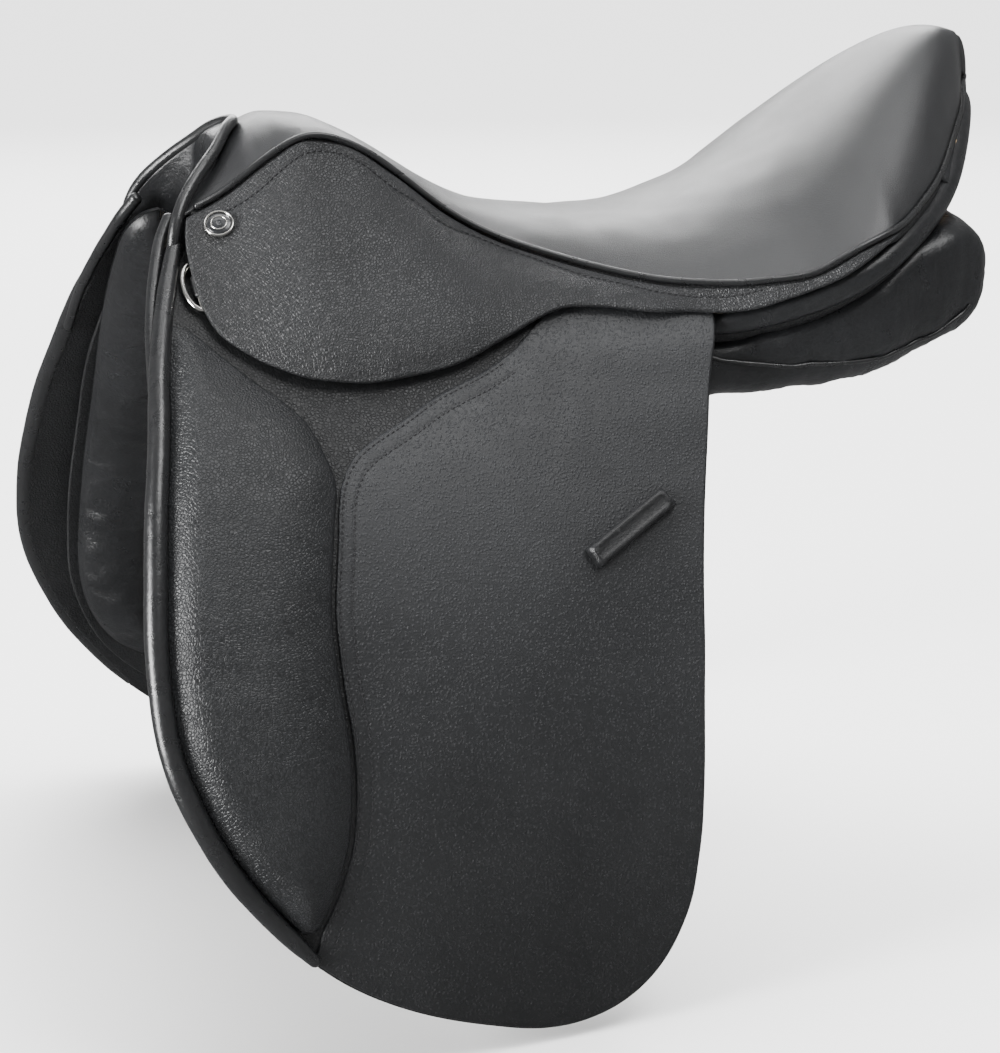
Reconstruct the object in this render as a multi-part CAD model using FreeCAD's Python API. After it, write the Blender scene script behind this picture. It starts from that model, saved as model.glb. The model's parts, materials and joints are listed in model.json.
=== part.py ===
import FreeCAD, Part
import os
import math
from FreeCAD import Vector, Matrix

os.makedirs("parts", exist_ok=True)

# English saddle, dressage cut.  Row frame in millimetres:
#   +X towards the cantle, -Y the near (left) side, +Z up, origin on the mid-plane
#   at the level the panels rest on.

# ---------------------------------------------------------------- driving dimensions
FLAP_TOP_Z = 105.0        # level from which the flap's spread is measured
FLAP_T = 4.0              # flap leather, measured across the saddle
SWEAT_IN, SWEAT_OUT = 15.0, 12.0   # sweat flap: inboard of the flap's outer face
STRAP_IN, STRAP_OUT = 8.8, 6.6     # girth straps, in the gap between the flaps
SKIRT_T = 4.0             # skirt leather
SEAT_T = 2.2              # seat leather
FOAM_T = 12.0             # seat foam
RAIL_T = 10.0             # beech rail
HEAD_T = 9.0              # beech head arch
CHANNEL_HALF = 35.0       # half the channel between the panels
PANEL_OUT = 123.0         # half-width over the rear of the panels
PIPING_D = 11.0           # rolled edge of flap and head
WELT_D = 3.2              # seat welt
BAR_LEN, BAR_H, BAR_T = 84.0, 11.0, 6.0   # stirrup bar blade
BAR_SLOT = 9.0            # room for the stirrup leather behind the blade
STRAP_W = 26.0            # girth strap width
STRAP_LEN = 235.0         # girth strap length below its pivot
HOLE_R = 2.6              # girth strap hole radius
PIVOT_R = 2.6             # stud that each girth strap hangs on
STUD_R = 8.2              # skirt stud radius
DEE_R, DEE_WIRE = 12.0, 3.0
FLAP_LIFT = 85.0          # degrees the flap can be lifted


# ---------------------------------------------------------------- one-dimensional curves
def pchip(knots):
    """Monotone cubic through (s, value) knots, held flat outside them."""
    s = [float(k[0]) for k in knots]
    v = [float(k[1]) for k in knots]
    n = len(s)
    h = [s[i + 1] - s[i] for i in range(n - 1)]
    d = [(v[i + 1] - v[i]) / h[i] for i in range(n - 1)]
    m = [0.0] * n
    m[0], m[-1] = d[0], d[-1]
    for i in range(1, n - 1):
        if d[i - 1] * d[i] <= 0:
            m[i] = 0.0
        else:
            w1, w2 = 2 * h[i] + h[i - 1], h[i] + 2 * h[i - 1]
            m[i] = (w1 + w2) / (w1 / d[i - 1] + w2 / d[i])

    def f(x):
        if x <= s[0]:
            return v[0] + m[0] * (x - s[0])
        if x >= s[-1]:
            return v[-1] + m[-1] * (x - s[-1])
        i = 0
        while x > s[i + 1]:
            i += 1
        t = (x - s[i]) / h[i]
        a, b = t * t * t, t * t
        return ((2 * a - 3 * b + 1) * v[i] + (a - 2 * b + t) * h[i] * m[i]
                + (-2 * a + 3 * b) * v[i + 1] + (a - b) * h[i] * m[i + 1])
    return f


def smooth(t):
    t = max(0.0, min(1.0, t))
    return t * t * (3 - 2 * t)


# ---------------------------------------------------------------- the saddle's surfaces
flap_spread = pchip([(-80, 10), (-40, 25), (0, 60), (60, 122), (120, 172), (180, 204), (240, 224),
                     (300, 234), (360, 241), (420, 247), (500, 254), (560, 258)])
rear_gain = pchip([(-40, 8), (0, 12), (46, 14), (80, 4), (120, -7), (240, -12), (560, -14)])
seat_mid = pchip([(-182, 158), (-175, 163), (-162, 167), (-145, 166), (-128, 160), (-111, 151), (-93, 140),
                  (-76, 130), (-58, 121), (-40, 115), (-22, 112), (-4, 110), (15, 108), (33, 108), (52, 109),
                  (71, 113), (90, 119), (118, 131), (137, 142), (156, 155), (175, 170), (194, 184),
                  (214, 197), (233, 206), (243, 208), (252, 207), (259, 204), (265, 198), (269, 190)])
welt_y = pchip([(-226, 62), (-210, 56), (-186, 52), (-162, 50), (-141, 49), (-118, 51), (-88, 57), (-63, 64),
                (-38, 72), (-13, 82), (11, 94), (35, 106), (59, 116), (83, 125), (107, 131), (136, 135),
                (155, 132), (170, 122), (185, 110), (205, 92), (220, 75), (234, 57), (250, 35), (261, 15), (268, 7)])
welt_z = pchip([(-226, 119), (-218, 122), (-198, 131), (-174, 147), (-152, 158), (-141, 157), (-129, 154),
                (-104, 138), (-76, 116), (-50, 102), (-25, 93), (-1, 86), (22, 81), (47, 78), (71, 78),
                (92, 80), (107, 82), (121, 88), (136, 96), (155, 103), (170, 107), (185, 114), (205, 125),
                (220, 136), (234, 148), (250, 161), (261, 175)])
skirt_z = pchip([(-226, 108), (-222, 90), (-219, 74), (-212, 64), (-198, 54), (-177, 47), (-150, 42), (-130, 42),
                 (-110, 45), (-90, 49), (-70, 55), (-54, 61), (-38, 66), (-20, 69), (4, 68), (40, 66),
                 (64, 67), (80, 68), (92, 69), (107, 73.5), (120, 80), (136, 87), (155, 94.5), (180, 104), (190, 109)])


def flap_y(x, z):
    s = FLAP_TOP_Z - z
    return flap_spread(s) + smooth((x + 160.0) / 220.0) * rear_gain(s)


skirt_ref_z = pchip([(-230, 60), (-212, 57), (-198, 54), (-177, 47), (-150, 42), (-130, 42), (-110, 45), (-90, 49),
                     (-70, 55), (-54, 61), (-38, 66), (-20, 69), (4, 68), (40, 66), (64, 67), (80, 68), (92, 69),
                     (107, 73.5), (120, 80), (136, 87), (155, 94.5), (180, 104), (190, 109)])
skirt_low_gap = pchip([(-230, 5), (-215, 6), (-180, 10), (-60, 10), (30, 10)])
skirt_bump = pchip([(-224, 0), (-205, 3), (-185, 8), (-160, 13), (-90, 13), (-50, 6), (0, 4), (60, 0), (200, 0)])


def skirt_y(x, z):
    """Half-width of the skirt's outer face: the flap's face plus a gap that gives the stirrup bar its room."""
    zw, zr = welt_z(x), skirt_ref_z(x)
    gw = welt_y(x) + 1.0 - flap_y(x, zw)
    gl = skirt_low_gap(x)
    gl = gl + (welt_y(x) + 6.0 - flap_y(x, zr) - gl) * smooth((x - 20.0) / 60.0)
    t = (zw - z) / max(6.0, zw - zr)
    if t < 0:
        return flap_y(x, z) + gw - (gl - gw) * 0.0
    if t > 1:
        return flap_y(x, z) + gl
    return flap_y(x, z) + gw * (1 - t) + gl * t + skirt_bump(x) * 4 * t * (1 - t)


def seat_z(x, y):
    """Height of the seat's outer face."""
    yw = welt_y(x)
    t = abs(y) / yw
    zm, zw = seat_mid(x), welt_z(x)
    p = 2.4 + 1.4 * smooth((x - 120.0) / 80.0)
    if t > 1:
        return zw - min(50.0, (zm - zw) * p * (min(t, 1.6) - 1))
    return zm - (zm - zw) * t ** p


# ---------------------------------------------------------------- solid helpers
def grid_face(point, u0, u1, nu, v0, v1, nv):
    pts = [[point(u0 + (u1 - u0) * i / (nu - 1.0), v0 + (v1 - v0) * j / (nv - 1.0))
            for j in range(nv)] for i in range(nu)]
    s = Part.BSplineSurface()
    s.interpolate(pts)
    return s.toShape()


def side_layer(fn, x0, x1, z0, z1, t, step=15.0):
    """Layer whose outer face is y = -fn(x, z), t thick towards the mid-plane (near side)."""
    nx = max(4, int(round((x1 - x0) / step)) + 1)
    nz = max(4, int(round((z1 - z0) / step)) + 1)
    f = grid_face(lambda x, z: Vector(x, -fn(x, z), z), x0, x1, nx, z0, z1, nz)
    s = f.extrude(Vector(0, t, 0))
    return s


def top_layer(fn, x0, x1, y0, y1, t, step=12.0):
    """Layer whose upper face is z = fn(x, y), t thick downwards."""
    nx = max(4, int(round((x1 - x0) / step)) + 1)
    ny = max(4, int(round((y1 - y0) / step)) + 1)
    f = grid_face(lambda x, y: Vector(x, y, fn(x, y)), x0, x1, nx, y0, y1, ny)
    return f.extrude(Vector(0, 0, -t))


def edges_of(runs, to_vec):
    out = []
    for run in runs:
        pts = [to_vec(*p) for p in run]
        if len(pts) == 2:
            out.append(Part.makeLine(pts[0], pts[1]))
        else:
            c = Part.BSplineCurve()
            c.interpolate(pts)
            out.append(c.toShape())
    return out


def prism_xz(runs, y0=-330.0, y1=0.0):
    """Prism along Y over a closed outline given as runs of (x, z) points."""
    e = edges_of(runs, lambda x, z: Vector(x, y0, z))
    f = Part.Face(Part.Wire(e))
    return f.extrude(Vector(0, y1 - y0, 0))


def prism_xy(runs, z0=-20.0, z1=260.0):
    e = edges_of(runs, lambda x, y: Vector(x, y, z0))
    f = Part.Face(Part.Wire(e))
    return f.extrude(Vector(0, 0, z1 - z0))


def solids(shape):
    s = shape.Solids
    if not s:
        raise ValueError("empty result")
    big = max(k.Volume for k in s)
    keep = [k for k in s if k.Volume > big * 1e-3]
    return keep[0] if len(keep) == 1 else Part.makeCompound(keep)


def common(a, b):
    return solids(a.common(b))


def cut(a, b):
    return solids(a.cut(b))


def mirror(s):
    return s.mirror(Vector(0, 0, 0), Vector(0, 1, 0))


def tube(path, r, r2=None):
    """Round bar through the given points: smooth loft of circles square to the path."""
    n = len(path)
    wires = []
    for i, p in enumerate(path):
        a = path[max(0, i - 1)]
        b = path[min(n - 1, i + 1)]
        d = (b - a).normalize()
        rr = r if r2 is None else r + (r2 - r) * i / (n - 1.0)
        wires.append(Part.Wire(Part.Circle(p, d, rr).toShape()))
    return Part.makeLoft(wires, True, False)


def box_bar(path, w, h, side):
    """Flat bar: rectangles w across 'side' and h thick, lofted along the points."""
    n = len(path)
    wires = []
    for i, p in enumerate(path):
        a = path[max(0, i - 1)]
        b = path[min(n - 1, i + 1)]
        d = (b - a).normalize()
        s = side(i, p)
        s = (s - d * s.dot(d)).normalize()
        t = d.cross(s)
        c = [p + s * (w / 2) + t * (h / 2), p - s * (w / 2) + t * (h / 2),
             p - s * (w / 2) - t * (h / 2), p + s * (w / 2) - t * (h / 2)]
        wires.append(Part.makePolygon(c + [c[0]]))
    return Part.makeLoft(wires, True, True)


def loft_sections(sections, ruled=False):
    """Solid through closed smooth sections; each section is a list of points."""
    wires = []
    for pts in sections:
        c = Part.BSplineCurve()
        c.interpolate(pts, PeriodicFlag=True)
        wires.append(Part.Wire(c.toShape()))
    return Part.makeLoft(wires, True, ruled)


NODES = {}


def put(name, shape):
    s = solids(shape)
    NODES[name] = s


def put_pair(name, shape):
    s = solids(shape)
    NODES[name + "_left"] = s
    NODES[name + "_right"] = solids(mirror(s))


# ---------------------------------------------------------------- outlines (x, z), near side
FLAP_FRONT = [(-226, 96), (-239, 90), (-244, 76), (-250, 61), (-256, 37), (-260, 16), (-265, -6), (-269, -27),
              (-273, -60), (-274, -91), (-271, -120), (-265, -147), (-252, -175), (-239, -196), (-225, -214)]
FLAP_BOTTOM = [(-225, -214), (-206, -233), (-189, -245), (-173, -255), (-149, -266), (-130, -273), (-109, -279),
               (-90, -283), (-73, -284), (-57, -281), (-40, -275), (-23, -263), (-13, -252), (-5, -237), (1, -223),
               (5, -207), (8, -190)]
FLAP_REAR = [(8, -190), (10, -150), (13, -122), (20, -64), (28, -26), (36, -3), (45, 20), (53, 38), (60, 54), (65, 68)]
FLAP_TOP = [(65, 68), (40, 72), (0, 72), (-50, 71), (-120, 71), (-190, 80), (-226, 96)]

# the line about which the flap is lifted, below the skirt's edge
HINGE_F, HINGE_R = (-257.0, 22.0), (57.0, 42.0)


def hinge_z(x):
    return HINGE_F[1] + (HINGE_R[1] - HINGE_F[1]) * (x - HINGE_F[0]) / (HINGE_R[0] - HINGE_F[0])


# knee pad thickness over the flap's outer face
PAD_EDGE = [(-226, 86), (-236, 74), (-231, 68), (-221, 60), (-212, 52), (-201, 43), (-191, 36), (-184, 29), (-179, 23), (-175, 16),
            (-172, 7), (-170, -1), (-170, -12), (-174, -29), (-178, -50), (-180, -71), (-181, -95), (-179, -122),
            (-178, -142), (-180, -162), (-183, -178), (-188, -192), (-193, -204), (-200, -217), (-210, -226)]
pad_in_x = pchip([(-228, -212), (-217, -200), (-204, -193), (-192, -188), (-178, -183), (-162, -180), (-142, -178),
                  (-122, -179), (-95, -181), (-71, -180), (-50, -178), (-29, -174), (-12, -170.5), (-1, -170),
                  (7, -171.5), (16, -175), (23, -179), (29, -184), (36, -191), (43, -201), (52, -212), (60, -221),
                  (68, -231), (76, -239)])
front_x = pchip([(-214, -225), (-196, -239), (-175, -252), (-147, -265), (-120, -271), (-91, -274), (-60, -273),
                 (-27, -269), (-6, -265), (16, -260), (37, -256), (61, -250), (76, -244), (90, -239), (100, -226)])


def pad_h(x, z):
    xf, xi = front_x(z) + 6.5, pad_in_x(z)
    if xi - xf < 2:
        return 1.0
    t = max(0.0, min(1.0, (x - xf) / (xi - xf)))
    top = smooth((68.0 - z) / 40.0)
    low = smooth((z + 232.0) / 60.0)
    return 1.2 + 10.5 * min(top, low) * math.sin(math.pi * t) ** 0.7


def flap_out(x, z):
    return flap_y(x, z)


# hinge axis in space: outside every outer face along the line
def hinge_clear():
    need_f = need_r = 0.0
    best = None
    for k in range(41):
        x = HINGE_F[0] + (HINGE_R[0] - HINGE_F[0]) * k / 40.0
        z = hinge_z(x)
        h = pad_h(x, z) if x < pad_in_x(z) else 0.0
        yield x, z, flap_y(x, z) + h


PTS = list(hinge_clear())


def hinge_y_line():
    """Lowest straight line y = a + b (x - x0) that stays outside all the points."""
    best = None
    for bi in range(-40, 41):
        b = bi / 100.0
        a = max(p[2] - b * (p[0] - HINGE_F[0]) for p in PTS)
        tot = sum(a + b * (p[0] - HINGE_F[0]) - p[2] for p in PTS)
        if best is None or tot < best[0]:
            best = (tot, a, b)
    return best[1] + 0.8, best[2]


HY_A, HY_B = hinge_y_line()
AX0 = Vector(HINGE_F[0], -HY_A, HINGE_F[1])
AX1 = Vector(HINGE_R[0], -(HY_A + HY_B * (HINGE_R[0] - HINGE_F[0])), HINGE_R[1])
AXD = (AX1 - AX0).normalize()


def local_normal(x, z):
    e = 3.0
    fx = (flap_y(x + e, z) - flap_y(x - e, z)) / (2 * e)
    fz = (flap_y(x, z + e) - flap_y(x, z - e)) / (2 * e)
    return Vector(-fx, -1.0, -fz).normalize()


NRM = Vector(0, 0, 0)
for xx in (-240, -180, -120, -60, 0, 50):
    NRM = NRM + local_normal(xx, hinge_z(xx))
NRM = (NRM - AXD * NRM.dot(AXD)).normalize()
DOWN = AXD.cross(NRM).normalize()
if DOWN.z > 0:
    DOWN = DOWN * -1.0


def half_space(below, gap):
    """Large block on the lower (or upper) side of the plane through the hinge axis and its normal."""
    c = (AX0 + AX1) * 0.5
    d = DOWN if below else DOWN * -1.0
    o = c + d * gap
    L, H, T = 900.0, 900.0, 700.0
    a = o - AXD * (L / 2) - NRM * (H / 2)
    w = Part.makePolygon([a, a + AXD * L, a + AXD * L + NRM * H, a + NRM * H, a])
    return Part.Face(w).extrude(d * T)


LOWER = half_space(True, 0.35)
UPPER = half_space(False, 0.35)

# ---------------------------------------------------------------- flaps
flap_full = common(side_layer(flap_out, -300, 110, -310, 125, FLAP_T), prism_xz([FLAP_FRONT, FLAP_BOTTOM, FLAP_REAR, FLAP_TOP]))
flap_low = common(flap_full, LOWER)
flap_up = common(flap_full, UPPER)

# knee pad on the front of the flap: crowned cushion, flat against the flap
pad_in_run = [(pad_in_x(z), z) for z in (65, 56, 43, 29, 16, 7, -1, -12, -29, -50, -71, -95, -122, -142, -162, -178, -192, -204, -213)]
pad_out_run = [(front_x(z) + 7.5, z) for z in (-213, -196, -175, -147, -120, -91, -60, -27, -6, 16, 37, 56, 65)]
pad_prism = prism_xz([pad_in_run, [pad_in_run[-1], pad_out_run[0]], pad_out_run, [pad_out_run[-1], pad_in_run[0]]])
pad_block = common(side_layer(lambda x, z: flap_y(x, z) + pad_h(x, z), -290, -150, -235, 95, 40.0, 9.0), pad_prism)
pad_full = cut(pad_block, side_layer(lambda x, z: flap_y(x, z) + 0.3, -300, 110, -310, 125, 80.0))
pad_low = common(pad_full, LOWER)
pad_up = common(pad_full, UPPER)

# rolled edge down the front of the flap
pipe_zs = [86, 76, 61, 37, 16, -6, -27, -60, -91, -120, -147, -175, -196, -212]
pipe_path = [Vector(front_x(z) + 0.5, -(flap_y(front_x(z) + 0.5, z) + 3.0), z) for z in pipe_zs]
pipe_full = tube(pipe_path, PIPING_D / 2)
flap_body = side_layer(lambda x, z: flap_y(x, z) + 0.3, -310, 110, -310, 135, 60.0)
pipe_full = cut(pipe_full, flap_body)
pipe_low = common(pipe_full, LOWER)
pipe_up = common(pipe_full, UPPER)

# keeper loop for the stirrup leather: low bridge of leather on the flap
KEEP = [(-46, -43), (4, -15), (11, -24), (-39, -52)]
keep_runs = [[KEEP[0], KEEP[1]], [KEEP[1], KEEP[2]], [KEEP[2], KEEP[3]], [KEEP[3], KEEP[0]]]
keep_block = common(side_layer(lambda x, z: flap_y(x, z) + 11.0, -70, 30, -70, 0, 30.0, 10.0), prism_xz(keep_runs))
keep_block = cut(keep_block, side_layer(lambda x, z: flap_y(x, z) + 0.3, -90, 50, -90, 20, 60.0, 10.0))
kx = (KEEP[1][0] - KEEP[0][0], KEEP[1][1] - KEEP[0][1])
kl = math.hypot(*kx)
ku = (kx[0] / kl, kx[1] / kl)
kv = (KEEP[3][0] - KEEP[0][0], KEEP[3][1] - KEEP[0][1])


def keep_pt(a, b):
    return (KEEP[0][0] + ku[0] * a + kv[0] * b, KEEP[0][1] + ku[1] * a + kv[1] * b)


inner = [keep_pt(6.0, -0.4), keep_pt(kl - 6.0, -0.4), keep_pt(kl - 6.0, 1.4), keep_pt(6.0, 1.4)]
keep_hollow = common(side_layer(lambda x, z: flap_y(x, z) + 8.6, -90, 50, -90, 20, 40.0, 10.0),
                     prism_xz([[inner[0], inner[1]], [inner[1], inner[2]], [inner[2], inner[3]], [inner[3], inner[0]]]))
keeper = cut(keep_block, keep_hollow)

put_pair("flap", flap_low)
put_pair("flap_top", flap_up)
put_pair("knee_pad", pad_low)
put_pair("knee_pad_top", pad_up)
put_pair("flap_piping", pipe_low)
put_pair("flap_piping_top", pipe_up)
put_pair("stirrup_leather_keeper", keeper)

# ---------------------------------------------------------------- sweat flaps and girth straps
SWEAT = [[(-222, 78), (-232, 60), (-238, 37), (-242, 10), (-244, -26), (-246, -57), (-248, -90), (-248, -118),
          (-247, -141), (-240, -168), (-228, -192), (-210, -212), (-185, -230), (-150, -247), (-110, -258), (-75, -262),
          (-45, -256), (-22, -240), (-10, -215), (-6, -190)],
         [(-6, -190), (-2, -150), (2, -110), (10, -60), (20, -20), (32, 10)],
         [(32, 10), (-20, 16), (-80, 20), (-150, 40), (-222, 78)]]
sweat = common(side_layer(lambda x, z: flap_y(x, z) - SWEAT_OUT, -300, 60, -300, 125, SWEAT_IN - SWEAT_OUT), prism_xz(SWEAT))
put_pair("sweat_flap", sweat)

STRAP_TOP = 12.0


def strap_solid(xc):
    z1, z0 = STRAP_TOP + 10.0, STRAP_TOP - STRAP_LEN
    w = STRAP_W / 2
    runs = [[(xc - w, z1), (xc - w, z0 + 14)], [(xc - w, z0 + 14), (xc - w * 0.55, z0 + 3), (xc, z0), (xc + w * 0.55, z0 + 3), (xc + w, z0 + 14)],
            [(xc + w, z0 + 14), (xc + w, z1)], [(xc + w, z1), (xc - w, z1)]]
    s = common(side_layer(lambda x, z: flap_y(x, z) - STRAP_OUT, xc - 40, xc + 40, -260, 60, STRAP_IN - STRAP_OUT), prism_xz(runs))
    for k in range(8):
        c = Part.makeCylinder(HOLE_R, 330, Vector(xc, -330, z0 + 30 + 20.0 * k), Vector(0, 1, 0))
        s = s.cut(c)
    pin = Part.makeCylinder(PIVOT_R + 0.05, 330, Vector(xc, -330, STRAP_TOP), Vector(0, 1, 0))
    return solids(s.cut(pin))


STRAP_X = (-76.0, -20.0)
put_pair("front_girth_strap", strap_solid(STRAP_X[0]))
put_pair("rear_girth_strap", strap_solid(STRAP_X[1]))


# webs carry the straps: a button through each strap's top, on a tape that runs up to the tree
def girth_web(side):
    out = []
    for xc in STRAP_X:
        runs = [[(xc - 12, 64), (xc - 12, 26)], [(xc - 12, 26), (xc - 12, STRAP_TOP - 12)], [(xc - 12, STRAP_TOP - 12), (xc + 12, STRAP_TOP - 12)],
                [(xc + 12, STRAP_TOP - 12), (xc + 12, 26)], [(xc + 12, 26), (xc + 12, 64)], [(xc + 12, 64), (xc - 12, 64)]]
        tape = common(side_layer(lambda x, z: flap_y(x, z) - 10.7, xc - 40, xc + 40, -30, 90, 1.0, 10.0), prism_xz(runs))
        yb = flap_y(xc, STRAP_TOP) - 10.9
        stud = Part.makeCylinder(PIVOT_R, 4.7, Vector(xc, -yb, STRAP_TOP), Vector(0, -1, 0))
        s = tape.fuse(stud)
        out.append(solids(s))
    s = Part.makeCompound(out)
    return s if side < 0 else mirror(s)


put("girth_web_left", girth_web(-1))
put("girth_web_right", girth_web(1))

# ---------------------------------------------------------------- panels
def ring(x, pts):
    return [Vector(x, -y, z) for y, z in pts]


# rear and middle of the panel: (x, y_in, y_out, z_bottom, z_top_in, z_top_out)
PANEL = [(-62, 42, 92, 17, 50, 44), (-30, 38, 98, 14, 48, 42), (0, 36, 106, 12.5, 50, 42), (35, 35, 114, 12, 50, 40), (64, 35, 119, 12.5, 52, 45),
         (90, 35, 123, 13.5, 56, 52), (115, 35, 125, 15, 62, 58), (140, 35, 126, 17, 72, 68), (162, 36, 124, 20, 82, 80),
         (184, 37, 117, 27, 94, 94), (205, 39, 106, 37, 106, 103), (222, 44, 94, 54, 118, 116), (233, 54, 82, 78, 112, 110)]
secs = []
for x, yi, yo, zb, zi, zo in PANEL:
    ym = (yi + yo) / 2
    h = min(zi, zo) - zb
    w = yo - yi
    secs.append(ring(x, [(ym, zb), (yo - 0.16 * w, zb + 0.04 * h), (yo - 0.02 * w, zb + 0.28 * h), (yo, zb + 0.6 * h),
                         (yo - 0.06 * w, zo - 0.08 * h), (yo - 0.25 * w, zo + 0.5), (ym, (zi + zo) / 2 + 1), (yi + 0.17 * w, zi),
                         (yi + 0.04 * w, zi - 0.14 * h), (yi, zb + 0.5 * h), (yi + 0.05 * w, zb + 0.14 * h),
                         (yi + 0.2 * w, zb + 0.02 * h)]))
panel_rear = loft_sections(secs)

# front of the panel: hangs inside the sweat flap from the head down to the shoulder
FRONT_PANEL = [[(-226, 96), (-232, 76), (-236, 50), (-238, 20), (-238, -10), (-230, -34), (-210, -48), (-170, -52), (-120, -48), (-80, -40), (-58, -26), (-50, 0)],
               [(-50, 0), (-50, 38)],
               [(-50, 38), (-100, 54), (-150, 62)], [(-150, 62), (-203, 62)], [(-203, 62), (-204, 88)], [(-204, 88), (-226, 96)]]


def front_in(x, z):
    e = smooth((x + 240.0) / 26.0) * smooth((z + 58.0) / 30.0) * smooth((100.0 - z) / 22.0)
    return 30.0 * (0.35 + 0.65 * e)


fp_out = side_layer(lambda x, z: flap_y(x, z) - 15.5, -260, -30, -80, 120, 80.0, 12.0)
fp_in = side_layer(lambda x, z: max(12.0, flap_y(x, z) - 15.5 - front_in(x, z)), -275, -15, -95, 135, 160.0, 12.0)
front_panel = cut(common(fp_out, prism_xz(FRONT_PANEL)), fp_in)
panel_near = panel_rear.fuse(front_panel)
put_pair("panel", panel_near)

# knee roll of the panel: padded strip down the front edge of the sweat flap, inner side
KNEE_ROLL = [[(-238, -56), (-241, -80), (-242, -105), (-242, -135), (-238, -160), (-229, -180), (-216, -195), (-199, -205)],
             [(-199, -205), (-186, -196), (-184, -170), (-186, -130), (-188, -90), (-190, -56)],
             [(-190, -56), (-238, -56)]]


def roll_in(x, z):
    a = max(0.0, min(1.0, (x + 243.0) / 59.0))
    e = math.sin(math.pi * a) ** 0.5 if 0 < a < 1 else 0.0
    return 4.0 + 14.0 * e * smooth((z + 212.0) / 40.0)


kr_out = side_layer(lambda x, z: flap_y(x, z) - 15.5, -260, -165, -225, -40, 60.0, 10.0)
kr_in = side_layer(lambda x, z: flap_y(x, z) - 15.5 - roll_in(x, z), -275, -150, -240, -25, 90.0, 10.0)
put_pair("panel_knee_roll", cut(common(kr_out, prism_xz(KNEE_ROLL)), kr_in))

# rolled facing between the skirt's tail and the panel
FACING = [(71, 117.5, 54, 6.5), (84, 119.5, 55.5, 7.0), (100, 123.5, 58.5, 7.5), (120, 127.5, 66, 8.0), (140, 129.5, 75.5, 8.5),
          (158, 127.5, 86, 8.0), (175, 118, 95, 8.0), (192, 104, 102.5, 7.5), (206, 92, 107, 7.0), (218, 79, 112, 6.0),
          (227, 68, 116, 5.0)]
path = [Vector(x, -y + 0.3, z - 0.7) for x, y, z, r in FACING]
wires = []
for i, (x, y, z, r) in enumerate(FACING):
    d = (path[min(i + 1, len(path) - 1)] - path[max(i - 1, 0)]).normalize()
    wires.append(Part.Wire(Part.Circle(path[i], d, r).toShape()))
facing = Part.makeLoft(wires, True, False)
facing = solids(facing.cut(panel_near))
put_pair("rear_facing", facing)

# ---------------------------------------------------------------- tree
RAIL = [(-172, 47, 134, 20), (-150, 50, 124, 22), (-120, 53, 108, 24), (-90, 57, 92, 24), (-60, 62, 80, 24), (-30, 68, 72, 25), (0, 75, 67.5, 26),
        (35, 86, 64, 27), (70, 96, 66, 28), (100, 102, 72, 30), (130, 105, 82, 32), (155, 101, 95, 30), (178, 89, 110, 26),
        (200, 74, 126, 24), (220, 58, 141, 24), (234, 40, 152, 26), (242, 18, 160, 24), (244, 0, 161, 24)]
rail_pts = [Vector(x, -y, z) for x, y, z, w in RAIL]


def bar_sections(pts, widths, thick, tilt):
    wires = []
    n = len(pts)
    for i, p in enumerate(pts):
        d = (pts[min(i + 1, n - 1)] - pts[max(i - 1, 0)])
        if i == n - 1:
            d = Vector(0, 1, 0)
        d.normalize()
        up = Vector(0, -tilt[i], 1.0)
        up = (up - d * up.dot(d)).normalize()
        s = d.cross(up)
        w, h = widths[i], thick
        c = [p + s * (w / 2) + up * (h / 2), p - s * (w / 2) + up * (h / 2),
             p - s * (w / 2) - up * (h / 2), p + s * (w / 2) - up * (h / 2)]
        wires.append(Part.makePolygon(c + [c[0]]))
    return Part.makeLoft(wires, True, True)


tilts = [0.55] * len(RAIL)
tilts[-1] = 0.0
tilts[-2] = 0.25
rail = bar_sections(rail_pts, [r[3] for r in RAIL], RAIL_T, tilts)

ARCH = [(0, 147.5), (14, 145), (27, 137.5), (38, 126), (48, 112.5), (57, 98.5), (65, 85.5), (73, 73)]


def arch_band(off0, off1, x0, x1, pts=ARCH, lean=0.0):
    """Band that follows the head arch between two offsets, from x0 to x1."""
    def offs(d):
        out = []
        full = [(-y, z) for y, z in reversed(pts[1:])] + pts
        n = len(full)
        for i, (y, z) in enumerate(full):
            a, b = full[max(0, i - 1)], full[min(n - 1, i + 1)]
            ty, tz = b[0] - a[0], b[1] - a[1]
            l = math.hypot(ty, tz)
            ny, nz = -tz / l, ty / l
            out.append((y + ny * d, z + nz * d))
        return out
    hi, lo = offs(off1), offs(off0)
    e = edges_of([hi, [hi[-1], lo[-1]], list(reversed(lo)), [lo[0], hi[0]]], lambda y, z: Vector(x0, y, z))
    f = Part.Face(Part.Wire(e))
    return f.extrude(Vector(x1 - x0, 0, lean * (x1 - x0)))


HEAD_X0, HEAD_X1 = -192.0, -160.0
head = arch_band(-HEAD_T / 2, HEAD_T / 2, HEAD_X0, HEAD_X1)
bar_block = Part.makeBox(78, 27, 18, Vector(-170, -79, 76))
blocks = bar_block.fuse(mirror(bar_block))
rail_cutter = rail.fuse([mirror(rail), blocks])
tree = head.fuse([rail, mirror(rail), bar_block, mirror(bar_block)])
put("tree", tree)
head_plate = arch_band(HEAD_T / 2 + 0.3, HEAD_T / 2 + 2.1, HEAD_X0 + 12, HEAD_X0 + 28, ARCH[:-1])
head_plate = cut(head_plate, rail_cutter)
put("head_plate", head_plate)
gullet_plate = arch_band(-HEAD_T / 2 - 2.3, -HEAD_T / 2 - 0.3, HEAD_X0 + 4, HEAD_X0 + 28, ARCH[:-1])
gullet_plate = cut(gullet_plate, rail_cutter)
put("gullet_plate", gullet_plate)

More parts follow.
